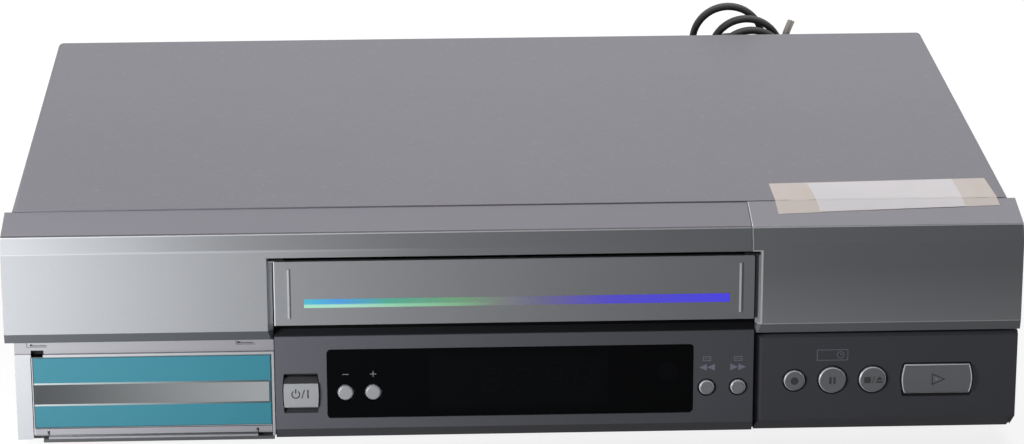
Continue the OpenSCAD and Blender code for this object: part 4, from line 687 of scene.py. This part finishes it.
# From the gland down to the table and into the hank, and from the hank to the plug
LEAD_ROUTE = [(172, 136, 30), (172, 143, 29.8), (172, 150, 28), (171.6, 156.5, 24), (170.6, 162.5, 18.5),
              (168.5, 168.5, 12.5), (164.8, 174, 7.2), (159.5, 178.2, 3.6), (152.5, 180.3, 1.9),
              (145, 179.5, 1.8), (138, 175.9, 1.8), (131.5, 170.8, 1.8), (125, 166.6, 1.8), (118.3, 165, 1.8)]
TAIL_ROUTE = [(98.2, 135.25, 1.8), (91.5, 135.6, 1.8), (84.5, 137.8, 1.9), (78, 142, 2.3), (72, 147.4, 3.2),
              (66, 152.8, 4.6), (59.5, 156.9, 6), (52.5, 158.6, 6.8), (46, 158.6, 6.85)]
# Middle and top of the five turns, their radius and their distance from each other
TURN_X = (113, 112, 110.5, 118.5, 120.5)
TURN_TOP = (84, 86, 102.2, 97.8, 93.9)
TURN_R = 16.3
TURN_PITCH = 5.95
HANK_Y = 165
# Middle, half width and height of the waist where the tie holds the turns
WAIST = (114, 2.15, 50)
LEAD_LOW = 1.8
LEAD_THICK = 3.4


def one_turn(k):
    """Points of one turn of the hank, from the table up, over and down again."""
    waist, half, level = WAIST
    x, y, top = TURN_X[k], HANK_Y - TURN_PITCH * k, TURN_TOP[k] - TURN_R
    next_x = TURN_X[min(k + 1, 4)]
    low_x, low_next = waist + (x - waist) * 0.3, waist + (next_x - waist) * 0.3
    low = LEAD_LOW + TURN_R
    points = [(low_x - TURN_R * sin(radians(a)), y, low - TURN_R * cos(radians(a)))
              for a in (0, 22, 45, 68, 90, 110)]
    points += [(waist - half - 1.2, y, level - 8), (waist - half, y, level - 3), (waist - half, y, level + 3)]
    points += [(x - TURN_R * cos(radians(a)), y, top + TURN_R * sin(radians(a)))
               for a in (-20, 2, 24, 46, 68, 90, 112, 134, 156, 178, 200)]
    points += [(waist + half, y - TURN_PITCH * 0.4, level + 3), (waist + half, y - TURN_PITCH * 0.6, level - 3),
               (waist + half + 1.2, y - TURN_PITCH * 0.8, level - 8)]
    points += [(low_next + TURN_R * sin(radians(a)), y - TURN_PITCH, low - TURN_R * cos(radians(a)))
               for a in (110, 90, 68, 45, 22)]
    return points


def smooth_route(points, steps):
    """A smooth curve through points, given in millimetres, returned in metres."""
    p = [Vector(point) * MM for point in points]
    route = []
    for i in range(len(p) - 1):
        a, b, c, d = p[max(i - 1, 0)], p[i], p[i + 1], p[min(i + 2, len(p) - 1)]
        for k in range(steps):
            t = k / steps
            route.append(0.5 * (2 * b + (c - a) * t + (2 * a - 5 * b + 4 * c - d) * t * t
                                + (3 * b - a - 3 * c + d) * t ** 3))
    return route + [p[-1]]


def swept(bm, route, broad, section):
    """Sweeps a closed section along a route; broad gives the direction of its width at each point."""
    rings = []
    for i, point in enumerate(route):
        ahead = (route[min(i + 1, len(route) - 1)] - route[max(i - 1, 0)]).normalized()
        across = broad(i, ahead)
        across = (across - ahead * across.dot(ahead)).normalized()
        up = ahead.cross(across)
        rings.append([bm.verts.new(point + across * u + up * v) for u, v in section(i)])
    count = len(rings[0])
    for one, two in zip(rings, rings[1:]):
        for k in range(count):
            bm.faces.new((one[k], one[(k + 1) % count], two[(k + 1) % count], two[k]))
    bm.faces.new(list(reversed(rings[0])))
    bm.faces.new(rings[-1])
    bmesh.ops.recalc_face_normals(bm, faces=bm.faces)


def flat_oval(width, height, sides, groove=0.0):
    """Section of a flat two-core lead, with a shallow groove between its cores."""
    points = []
    for k in range(sides):
        a = 2 * pi * (k + 0.5) / sides
        middle = max(0.0, 1 - abs(cos(a)) * 2.2)
        points.append((cos(a) * width / 2, sin(a) * height / 2 * (1.0 - groove * middle)))
    return points


class RECORDER_OT_mains_lead(bpy.types.Operator):
    """Lays the mains lead in its hank with tie, plug and strain relief"""

    bl_idname = "recorder.mains_lead"
    bl_label = "Mains lead"

    def execute(self, context):
        sizes = context.scene.recorder_lead
        way_in = smooth_route(LEAD_ROUTE, 3)
        hank = [(118.3, HANK_Y, LEAD_LOW)]
        for k in range(5):
            hank += one_turn(k)
        hank += [(x, HANK_Y - 5 * TURN_PITCH, LEAD_LOW) for x in (114, 106, 98.2)]
        wound = smooth_route(hank, 3)
        path = way_in + wound[1:] + smooth_route(TAIL_ROUTE, 3)[1:]
        flat_from, flat_to = len(way_in), len(way_in) + len(wound) - 2
        blend = 9

        def broad(i, ahead):
            """Along Y within the hank, level outside it and turning from one to the other between."""
            side = Vector((0, 1, 0))
            level = ahead.cross(Vector((0, 0, 1)))
            level = level.normalized() if level.length > 1e-6 else side
            if level.dot(side) < 0:
                level = -level
            outside = max(flat_from - i, i - flat_to, 0)
            share = max(0.0, (blend - outside) / blend)
            return level * (1 - share) + side * share

        bm = bmesh.new()
        section = flat_oval(sizes.width, LEAD_THICK * MM, sizes.sides, 0.12)
        swept(bm, path, broad, lambda i: section)
        lead = finish_piece("lead", bm, black_rubber("lead_sheath", (19, 19, 20), 0.55), "case", 50)
        relief = self.relief(way_in[:11])
        tie = self.tie()
        dress(black_rubber("plug_rubber", (30, 30, 31), 0.45), "mains_plug")
        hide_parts("power_cord", "cord_hank")
        return {"FINISHED"}

    def relief(self, route):
        """Tapered rubber sleeve with ribs where the lead leaves the rear panel."""
        def section(i):
            rib = 0.35 if i % 2 else 0.0
            grow = 1.55 - 1.1 * i / (len(route) - 1) - rib
            return flat_oval((5.4 + 2 * grow) * MM, (LEAD_THICK + 2 * grow) * MM, 20)

        bm = bmesh.new()
        swept(bm, route, lambda i, ahead: ahead.cross(Vector((0, 0, 1))), section)
        rubber = black_rubber("relief_rubber", (28, 28, 29), 0.5)
        return finish_piece("lead_relief", bm, rubber, "case", 25)

    def tie(self):
        """Paper-covered wire tie round the waist of the hank with its free end standing up."""
        waist, half, level = WAIST
        out = half + LEAD_THICK / 2 + 0.55
        corner, margin = 1.6, 3.6
        y0, y1 = HANK_Y - TURN_PITCH * 4.5 - margin + corner, HANK_Y + margin - corner
        x0, x1 = waist - out + corner, waist + out - corner
        loop = [around(cx, cy, corner, start + 22.5 * step) for cx, cy, start in (
            (x1, y1, 0), (x0, y1, 90), (x0, y0, 180), (x1, y0, 270)) for step in range(5)]
        band = [(x, y, level + 0.6 * sin(i * 0.7)) for i, (x, y) in enumerate(loop)]
        band += [(band[0][0] + 0.9, band[0][1] - 1.0, level + 1.2)]
        free = [(118.6, 134.6, 50), (121, 134.2, 57), (124.6, 134.2, 65), (128.6, 134.3, 73), (132.4, 134.6, 81),
                (134.6, 135.6, 88), (136, 138.4, 92.6), (137.8, 142.6, 95.2), (139.4, 147, 96.6)]
        edge = [(-2.0, -0.22), (-0.5, -0.3), (0, -0.5), (0.5, -0.3), (2.0, -0.22)]
        strip = [(u * MM, v * MM) for u, v in edge + [(-u, -v) for u, v in edge]]
        narrow = [(u * 0.8, v) for u, v in strip]

        def half_turn(i, ahead):
            a = pi * min(i, 20) / 20
            return Vector((cos(a), sin(a), 0.2))

        bm = bmesh.new()
        swept(bm, smooth_route(band, 2), lambda i, ahead: Vector((0, 0, 1)), lambda i: strip)
        swept(bm, smooth_route(free, 4), half_turn, lambda i: narrow)
        finish = paper("tie_paper", (166, 160, 155), (140, 133, 128), 0.4)
        tie = finish_piece("wire_tie", bm, finish, "case", 40)
        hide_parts("cord_tie")
        return tie


# Case

class RECORDER_OT_case(bpy.types.Operator):
    """Finishes the steel cover, bottom, rear panel, feet and screws"""

    bl_idname = "recorder.case"
    bl_label = "Steel case"

    def execute(self, context):
        cover = cover_paint(context.scene.recorder_front.cover)
        eased("top_cover", cover, "case", 0.12 * MM)
        dress(zinc_sheet("bottom_zinc", (150, 151, 154), lambda x, y, z: y < -126.9 * MM), "bottom_plate")
        dress(flake_paint("rear_paint", (112, 112, 115), 0.08), "rear_panel")
        dress(black_rubber("foot_rubber", (26, 26, 28), 0.6), "feet")
        dress(zinc_sheet("blackened_screws", (52, 52, 54)), "cover_screws")
        dress(black_rubber("gland_rubber", (24, 24, 25), 0.45), "cord_gland")
        return {"FINISHED"}


# Front

class RECORDER_OT_front(bpy.types.Operator):
    """Paints the silver band, its end cap and the cassette flap with its stripe"""

    bl_idname = "recorder.front"
    bl_label = "Front band and flap"

    def execute(self, context):
        silver = context.scene.recorder_front.silver
        self.band(silver)
        self.end_cap(silver)
        self.flap(silver)
        return {"FINISHED"}

    def band(self, silver):
        """Painted light on the band: a painted highlight at the left of its brow and painted shade to the right above
        the flap, painted highlights along its rim and its crease, and painted shade on its foot and in the slot behind
        the flap; its top takes the cover's tone and a dark seam runs along its crown.
        """
        def zones(x, y, z):
            brow = z.within(BAND_CREASE, BAND_CROWN - 0.3)
            # Painted highlights and painted shade, with the top's tone and the seam as the band's own
            return (
                (z > BAND_CROWN * MM, (137, 134, 143)),
                (brow * (1 - x.rise(-195, -110)) * 0.6, shifted(silver, 34)),
                (brow * x.rise(-150, -40) * 0.7, shifted(silver, -36)),
                (z.within(80, BAND_CREASE) * (x < 93.2 * MM) * x.rise(-90, -30) * 0.7, shifted(silver, -36)),
                (z.near(BAND_CROWN + 0.12, 0.1) * (x < 93 * MM), (84, 83, 88)),
                (z.near(BAND_CROWN - 0.15, 0.16), shifted(silver, 52)),
                (z.near(BAND_CREASE - 0.2, 0.4) * (1 - x.rise(-120, -30)), shifted(silver, 18)),
                (z < BAND_FOOT * MM, (84, 87, 91)),
                ((x.size() < 94.9 * MM) * (y > -132.9 * MM) * (z < 84 * MM), GAP_SHADE))

        eased("front_frame", flake_paint("front_silver", silver, zones=zones), "case", 0.3 * MM)

    def end_cap(self, silver):
        """The cap at the right, made paler towards its foot by painted light, with painted highlights on its rim, its
        step, its jamb beside the flap and a line at its foot, and painted shade on the chamfer under it.
        """
        def zones(x, y, z):
            # Painted light: the paler foot, the highlights on rim, step, jamb and foot line, and the shade on the
            # chamfer; the top takes the cover's tone
            return (
                (1 - z.rise(52, 74), shifted(silver, 4)),
                (z > (BAND_CROWN + 0.1) * MM, (149, 147, 155)),
                (z.near(BAND_CROWN - 0.05, 0.17), (250, 250, 252)),
                ((x < 93.65 * MM) * (z > 82 * MM), shifted(silver, 62)),
                ((x < 97.5 * MM) * (z < 82 * MM) * (y < FRONT * MM), (248, 248, 250)),
                (z < (BAND_FOOT - 0.15) * MM, (126, 128, 132)),
                (z.near(BAND_FOOT, 0.17), (214, 214, 218)))

        cap = flake_paint("cap_silver", shifted(silver, -18), zones=zones)
        eased("band_end_cap", cap, "case", 0.3 * MM)

    def flap(self, silver):
        """The flap, with painted highlights along its two ribs and its left edge, painted shade on its hinge ears at
        the top, and the foil stripe.
        """
        def zones(x, y, z):
            proud = y < (FLAP_FACE - 0.1) * MM
            # Painted highlights on the ribs and the left edge, and painted shade on the hinge ears above the flap
            return (
                (x.near(-88.65, 0.32) * proud, shifted(silver, 34)),
                (x.near(88.65, 0.4) * proud, (250, 250, 252)),
                (x < -93.85 * MM, shifted(silver, 70)),
                (z > 79.95 * MM, GAP_SHADE))

        flap = flake_paint("flap_silver", shifted(silver, -9), zones=zones)
        eased("cassette_flap", flap, "cassette_flap", 0.25 * MM)
        low, high = 60.7, 64.3
        bm = bmesh.new()
        plate(bm, [(STRIPE_LEFT, low), (STRIPE_RIGHT, low), (STRIPE_RIGHT, high), (STRIPE_LEFT, high)], FLAP_FACE)
        finish_piece("flap_stripe", bm, flap_stripe_ink(), "cassette_flap")


class RECORDER_OT_lower_panels(bpy.types.Operator):
    """Paints the dark centre and right panels and prints the marks above their buttons"""

    bl_idname = "recorder.lower_panels"
    bl_label = "Lower panels"

    def execute(self, context):
        colours = context.scene.recorder_front
        # Painted shade for the lower bevel of both panels
        foot = scaled(colours.dark, 0.64)

        def wells(x, z, buttons):
            return [(inside(x, z, x0, z0, radius + 0.75), WELL_SHADE) for x0, z0, radius in buttons.values()]

        def centre(x, y, z):
            # Painted shade: the lower bevel, the ledge under the flap, the recess round the power button, the sill
            # behind the ledge, the holes behind the wind buttons and the rings round the buttons
            return (
                (z < 9.6 * MM, foot),
                ((z > 48.45 * MM) * (y > -133.6 * MM), (52, 53, 57)),
                (x.near(-84.4, 7.4) * z.near(WIND_Z, 8.4) * (y > -133.9 * MM), (58, 58, 62)),
                (y > -129.9 * MM, GAP_SHADE),
                (x.near(82.3, 10.5) * z.near(WIND_Z, 5) * (y > -133.75 * MM), (18, 18, 20)),
                *wells(x, z, WIND_BUTTONS))

        def right(x, y, z):
            # Painted shade: the lower bevel, the dark field behind the deck buttons, and the rings round the round
            # buttons and the play button
            return (
                (z < 9.6 * MM, foot),
                (x.near(145, 42) * z.near(DECK_Z, 9) * (y > -132.75 * MM), (18, 18, 20)),
                *wells(x, z, DECK_BUTTONS),
                ((play_reach(x, z) < 14.75 * MM) * z.near(DECK_Z, 6.85), WELL_SHADE))

        eased("centre_panel", flake_paint("centre_grey", colours.dark, zones=centre), "case",
              colours.easing)
        eased("right_panel", flake_paint("right_grey", scaled(colours.dark, 0.88), zones=right), "case",
              colours.easing)
        self.wind_marks()
        self.timer_box()
        return {"FINISHED"}

    def wind_marks(self):
        """Double arrows with a small outlined box over the rewind and forward buttons."""
        level, box_level = 33.0, 36.6
        bm = bmesh.new()
        for (x, _, _), way in zip(WIND_BUTTONS.values(), (-1, 1)):
            for offset in (-1.6, 1.6):
                tip, foot = x + offset + way * 1.55, x + offset - way * 1.55
                corners = [(foot, level - 1.4), (tip, level), (foot, level + 1.4)]
                plate(bm, corners[::way], CENTRE_FACE)
            rule_box(bm, x, box_level, 3.2, 1.9, 0.25, CENTRE_FACE)
            for side in (-0.55, 0.55):
                bar(bm, x + side, box_level, 0.5, 0.35, CENTRE_FACE)
        finish_piece("wind_marks", bm, plain_ink("mark_grey", (160, 156, 178)), "case")

    def timer_box(self):
        """Outlined box with a clock face over the pause button."""
        clock, level = 129.2, 37.0
        bm = bmesh.new()
        rule_box(bm, 126.0, level, 12.4, 4.6, 0.25, RIGHT_FACE)
        ring(bm, clock, level, 1.35, 0.25, RIGHT_FACE, INK, 0, 360, 24)
        bar(bm, clock, level + 0.45, 0.22, 0.9, RIGHT_FACE)
        bar(bm, clock + 0.4, level, 0.8, 0.22, RIGHT_FACE)
        finish_piece("timer_box", bm, plain_ink("mark_dim", (156, 156, 174)), "case")


class RECORDER_OT_socket_door(bpy.types.Operator):
    """Finishes the socket frame, its door with the printed sheet and the sockets behind it"""

    bl_idname = "recorder.socket_door"
    bl_label = "Socket door"

    def execute(self, context):
        colours = context.scene.recorder_front

        def zones(x, y, z):
            # The strip above the door has a grey of its own; painted shade in the notch at its left end, on the rail
            # below the sheet and in the line under the sheet's edge
            sill = x.near(DOOR_X, DOOR_HALF) * (y < -132.9 * MM)
            return (
                (z > 42.3 * MM, (151, 151, 156)),
                (x.near(-187.6, 2.5) * z.near(42.35, 1.5) * (y > -133.1 * MM), (16, 16, 19)),
                (sill * (z < 11.3 * MM), (150, 150, 156)),
                (sill * z.near(11.05, 0.16), (64, 64, 70)))

        pale = flake_paint("frame_silver", shifted(colours.silver, 16), 0.06, zones=zones)
        eased("av_frame", pale, "case", 0.2 * MM)
        eased("av_door", pale, "av_door", 0.2 * MM)
        bm = bmesh.new()
        plate(bm, [(-189.7, 11.3), (-96.15, 11.5), (-96.15, 41.0), (-189.7, 41.0)], DOOR_FACE, 0.12)
        finish_piece("door_sheet", bm, door_sheet_print(colours.teal), "av_door", None,
                     0.04 * MM, 1)
        self.latch_shadow_lines()
        self.sockets()
        return {"FINISHED"}

    def latch_shadow_lines(self):
        """Painted shadow: dark lines along the left side and the foot of the two shallow recesses on the strip above
        the door.
        """
        bm = bmesh.new()
        for left in (-191.7, -109.7):
            bar(bm, left + 0.15, 46.05, 0.3, 1.9, STRIP_FACE)
            bar(bm, left + 4.0, 45.2, 8.0, 0.25, STRIP_FACE, INK + 0.01)
        finish_piece("latch_shadow_lines", bm, plain_ink("latch_shade", (92, 92, 98)), "case")

    def sockets(self):
        """Black sockets, three of them with a coloured ring round a dark pin."""
        def rings(x, y, z):
            for i, colour in enumerate(((206, 172, 44), (214, 212, 206), (170, 40, 38)), 1):
                for radius, shown in ((4.7, colour), (2.6, (46, 46, 48))):
                    yield inside(x, z, FIRST_SOCKET_X + SOCKET_PITCH * i, SOCKET_Z, radius), shown

        dress(moulded("socket_black", (34, 34, 36), 0.4, zones=rings), "av_sockets")


class RECORDER_OT_window(bpy.types.Operator):
    """Finishes the display window, what lies behind it and the marks over its buttons"""

    bl_idname = "recorder.window"
    bl_label = "Display window"

    def execute(self, context):
        eased("display_window", smoked_window(), "case", 0.3 * MM)
        dress(moulded("display_glass", (40, 48, 46), 0.2), "display_module")
        dress(moulded("receiver_lens", (30, 18, 24), 0.2), "ir_receiver")
        down, up, level, line = -66.8, -55.9, 32.3, 0.32
        bm = bmesh.new()
        bar(bm, down, level, 2.4, line, WINDOW_FACE)
        bar(bm, up, level, 2.4, line, WINDOW_FACE)
        bar(bm, up, level, line, 2.4, WINDOW_FACE, INK + 0.01)
        finish_piece("channel_marks", bm, plain_ink("mark_white", (142, 142, 145)), "case")
        self.segments()
        return {"FINISHED"}

    def segments(self):
        """The unlit strokes of a four-figure clock, only just seen behind the window."""
        level, step, slant = 29.2, 4.5, 0.5
        bm = bmesh.new()
        for middle in (-9, 2.5, 15.5, 27):
            for row in (-1, 0, 1):
                bar(bm, middle + row * slant, level + row * step, 4.6, 0.9, WINDOW_FACE)
            for side in (-2.9, 2.9):
                for row in (-0.5, 0.5):
                    bar(bm, middle + side + row * slant, level + row * step, 0.9, 3.3, WINDOW_FACE, INK, 0.4)
        for row in (-0.45, 0.45):
            bar(bm, 9 + row * slant, level + row * step, 1.0, 1.0, WINDOW_FACE)
        unlit = plain_ink("segment_shade", (15, 17, 19), 0.22, Specular_IOR_Level=0.03)
        finish_piece("clock_segments", bm, unlit, "case")


class RECORDER_OT_buttons(bpy.types.Operator):
    """Paints the nine buttons and prints their signs"""

    bl_idname = "recorder.buttons"
    bl_label = "Buttons"

    def execute(self, context):
        silver = context.scene.recorder_front.silver
        # Painted highlight for the rims of the round buttons and the play button
        rim = shifted(silver, 78)
        deck = shifted(silver, -38)
        bright = self.paint("button_silver", shifted(silver, 8))
        for node in ("channel_down_button", "channel_up_button"):
            eased(node, bright, node, 0.12 * MM)
        for buttons, face in ((WIND_BUTTONS, shifted(silver, -22)), (DECK_BUTTONS, deck)):
            for node, (x0, z0, radius) in buttons.items():
                self.round_button(node, face, rim, x0, z0, radius)

        def play_edge(x, y, z):
            # Painted highlight round the play button's edge
            beyond = (play_reach(x, z) > 13.55 * MM).most((z - DECK_Z * MM).size() > 5.75 * MM)
            return [(beyond * (y < RIGHT_FACE * MM), rim)]

        eased("play_button", self.paint("play_silver", deck, play_edge), "play_button", 0.2 * MM)
        # Painted shade: the upper part of the power button is dark grey, standing for the shade on its top slope
        power = flake_paint("power_silver", shifted(silver, 12), zones=lambda x, y, z: [(z > 29.0 * MM, (60, 60, 63))])
        eased("power_button", power, "power_button", 0.12 * MM)
        self.signs()
        return {"FINISHED"}

    def paint(self, name, face, zones=None):
        """The glossier paint of the buttons; their rims carry a painted highlight."""
        return flake_paint(name, face, metal=0.3, gloss=0.38, zones=zones)

    def round_button(self, node, face, rim, x0, z0, radius):
        def edge(x, y, z):
            # Painted highlight round the rim
            return [(squared(x, z, x0, z0) > ((radius - 0.38) * MM) ** 2, rim)]

        eased(node, self.paint(node + "_silver", face, edge), node, 0.2 * MM)

    def signs(self):
        """Disc, twin bars, and square with a slash and a triangle over a bar, then play and power."""
        ink = plain_ink("sign_dark", (34, 34, 38))
        face = RIGHT_FACE - 0.9
        record_x, pause_x, stop_x = (x for x, _, _ in DECK_BUTTONS.values())
        bm = bmesh.new()
        disc(bm, record_x, DECK_Z, 1.6, face)
        finish_piece("record_sign", bm, ink, "record_button")
        bm = bmesh.new()
        for side in (-0.8, 0.8):
            bar(bm, pause_x + side, DECK_Z, 0.9, 2.9, face)
        finish_piece("pause_sign", bm, ink, "pause_button")
        bm = bmesh.new()
        bar(bm, stop_x - 2.1, DECK_Z, 2.6, 2.6, face)
        bar(bm, stop_x + 0.2, DECK_Z, 0.3, 3.2, face, INK, 0.9)
        eject_x = stop_x + 2.6
        plate(bm, [(eject_x - 1.4, DECK_Z - 0.1), (eject_x + 1.4, DECK_Z - 0.1), (eject_x, DECK_Z + 1.4)], face)
        bar(bm, eject_x, DECK_Z - 0.9, 2.8, 0.7, face)
        finish_piece("stop_eject_sign", bm, ink, "stop_eject_button")
        self.play_sign(ink)
        self.power_sign(ink)

    def play_sign(self, ink):
        """Outlined triangle drawn as three strokes, with a small lamp lens in it."""
        face = RIGHT_FACE - 1.12
        corners = [(165.6, DECK_Z - 2.5), (171.2, DECK_Z), (165.6, DECK_Z + 2.5)]
        inner = [(166.0, DECK_Z - 1.85), (170.2, DECK_Z), (166.0, DECK_Z + 1.85)]
        bm = bmesh.new()
        for i in range(3):
            j = (i + 1) % 3
            plate(bm, (corners[i], corners[j], inner[j], inner[i]), face, INK + 0.03)
        finish_piece("play_sign", bm, ink, "play_button")
        bm = bmesh.new()
        disc(bm, 167.5, DECK_Z, 0.45, face, INK + 0.05, 20)
        finish_piece("play_lens", bm, plain_ink("lens_pale", (196, 198, 200), 0.2), "play_button")

    def power_sign(self, ink):
        """Ring broken by a bar, a slash and a second bar, deep enough to stand out of the bowed face."""
        face, depth, level = CENTRE_FACE - 0.88, 0.15, WIND_Z
        bm = bmesh.new()
        ring(bm, -86.5, level, 1.55, 0.44, face, depth, 125, 290, 26)
        bar(bm, -86.5, level + 1.2, 0.44, 1.9, face, depth)
        bar(bm, -83.6, level + 0.1, 0.4, 3.7, face, depth, 1.1)
        bar(bm, -81.7, level + 0.1, 0.46, 3.5, face, depth)
        finish_piece("power_sign", bm, ink, "power_button")


class RECORDER_OT_cover_tape(bpy.types.Operator):
    """Sticks the old tape and the bare label on the cover"""

    bl_idname = "recorder.cover_tape"
    bl_label = "Tape on the cover"

    def execute(self, context):
        tape = [(104.6, -122), (193, -117.2), (191.6, -86.2), (104, -89.6)]
        label = [(121.2, -120.8), (179.2, -118), (178.2, -87), (119.4, -90)]
        self.sheet("cover_tape", tape, 0.10, paper("old_tape", (233, 223, 219), (227, 213, 203), 0.5), 30)
        self.sheet("cover_label", label, 0.22, paper("bare_label", (248, 243, 246), (240, 236, 240), 0.15), 20)
        return {"FINISHED"}

    def height(self, y):
        """Height of the band, which slopes, and of the cover behind it, which is flat."""
        seam, slope, cover = -111.1, 0.1645, 94.5
        share = min(1.0, max(0.0, (y - seam) / 0.4))
        return (94.25 + (min(y, seam) + 111) * slope) * (1 - share) + cover * share

    def sheet(self, name, corners, lift, finish, across):
        """A thin sheet between four corners in millimetres that follows what it lies on."""
        bm = bmesh.new()
        bmesh.ops.create_grid(bm, x_segments=across, y_segments=48, size=0.5)
        for vert in bm.verts:
            u, v = vert.co.x + 0.5, vert.co.y + 0.5
            front = Vector(corners[0]).lerp(Vector(corners[1]), u)
            back = Vector(corners[3]).lerp(Vector(corners[2]), u)
            x, y = front.lerp(back, v)
            vert.co = Vector((x, y, self.height(y) + lift)) * MM
        faces = list(bm.faces)
        bmesh.ops.recalc_face_normals(bm, faces=faces)
        bmesh.ops.solidify(bm, geom=faces, thickness=0.08 * MM)
        finish_piece(name, bm, finish, "case", 30)


# Inside

class RECORDER_OT_boards(bpy.types.Operator):
    """Finishes the boards, the power supply and the rear sockets"""

    bl_idname = "recorder.boards"
    bl_label = "Boards and sockets"

    def execute(self, context):
        dress(circuit_board("board_green", (38, 92, 62), (58, 128, 84)), "main_board", "front_board")
        dress(circuit_board("board_brown", (118, 88, 48), (150, 118, 68)), "power_board")
        dress(moulded("chip_black", (30, 30, 32), 0.5), "board_parts")
        dress(moulded("switch_black", (26, 26, 28), 0.5), "tact_switches")
        dress(stacked_iron(), "transformer")
        dress(moulded("capacitor_sleeve", (28, 34, 60), 0.3, 0.2), "capacitors")
        dress(turned_metal("sink_aluminium", (176, 178, 180), 0.34, pitch=7000), "heat_sink")
        dress(zinc_sheet("tinned_can", (176, 178, 180)), "tuner")
        dress(moulded("socket_body", (32, 32, 34), 0.42), "scart_sockets")
        dress(zinc_sheet("phono_metal", (160, 160, 162)), "phono_sockets")
        return {"FINISHED"}


class RECORDER_OT_tape_deck(bpy.types.Operator):
    """Finishes the deck, the cassette housing, the drum and the loading drive"""

    bl_idname = "recorder.tape_deck"
    bl_label = "Tape deck"

    def execute(self, context):
        drum = {"centre": (0, 51, 37.2), "lean": 6}
        dress(zinc_sheet("deck_zinc", (158, 159, 162)), "deck_chassis", "left_bracket", "right_bracket",
              "housing_bridge", "carriage", "cassette_holder", "pinch_arm")
        dress(turned_metal("drum_base", (186, 187, 190), 0.24, **drum), "lower_drum")
        dress(turned_metal("drum_polished", (204, 205, 208), 0.14, **drum), "upper_drum")
        dress(moulded("reel_black", (30, 30, 33), 0.4), "supply_reel")
        dress(moulded("reel_dark", (32, 32, 35), 0.4), "takeup_reel")
        dress(turned_metal("capstan_steel", (178, 178, 182), 0.12, (62, 24.5, 0)), "capstan")
        dress(black_rubber("roller_rubber", (24, 24, 25), 0.6), "pinch_roller")
        dress(turned_metal("head_metal", (196, 186, 160), 0.16), "tape_heads")
        dress(turned_metal("guide_brass", (196, 178, 120), 0.2, (-43, 0, 0)), "supply_guide")
        dress(turned_metal("guide_brass_right", (196, 178, 120), 0.2, (43, 0, 0)), "takeup_guide")
        dress(turned_metal("motor_can", (168, 170, 173), 0.3, pitch=5000), "loading_motor")
        dress(moulded("worm_acetal", (226, 224, 216), 0.42, 0.15), "loading_worm")
        dress(moulded("gear_acetal", (230, 229, 222), 0.42, 0.15), "loading_gear")
        return {"FINISHED"}


class RECORDER_PT_panel(bpy.types.Panel):
    """Lists the steps that finish the recorder"""

    bl_idname = "RECORDER_PT_panel"
    bl_label = "Video recorder"
    bl_space_type = "VIEW_3D"
    bl_region_type = "UI"
    bl_category = "Recorder"

    def draw(self, context):
        column = self.layout.column(align=True)
        for step in STEPS:
            column.operator(step.bl_idname, text=step.bl_label)
        for group in (context.scene.recorder_front, context.scene.recorder_lead, context.scene.recorder_stage):
            for name in group.__annotations__:
                self.layout.prop(group, name)


STEPS = (RECORDER_OT_stage, RECORDER_OT_mains_lead, RECORDER_OT_case, RECORDER_OT_front,
         RECORDER_OT_lower_panels, RECORDER_OT_socket_door, RECORDER_OT_window, RECORDER_OT_buttons,
         RECORDER_OT_cover_tape, RECORDER_OT_boards, RECORDER_OT_tape_deck)
GROUPS = {"recorder_front": FrontColours, "recorder_lead": LeadSizes, "recorder_stage": StageSettings}
CLASSES = tuple(GROUPS.values()) + STEPS + (RECORDER_PT_panel,)


def register():
    for kind in CLASSES:
        bpy.utils.register_class(kind)
    for name, kind in GROUPS.items():
        setattr(bpy.types.Scene, name, PointerProperty(type=kind))


def unregister():
    for name in GROUPS:
        delattr(bpy.types.Scene, name)
    for kind in reversed(CLASSES):
        bpy.utils.unregister_class(kind)


def main():
    register()
    for step in STEPS:
        getattr(bpy.ops.recorder, step.bl_idname.partition(".")[2])()


if __name__ == "__main__":
    main()
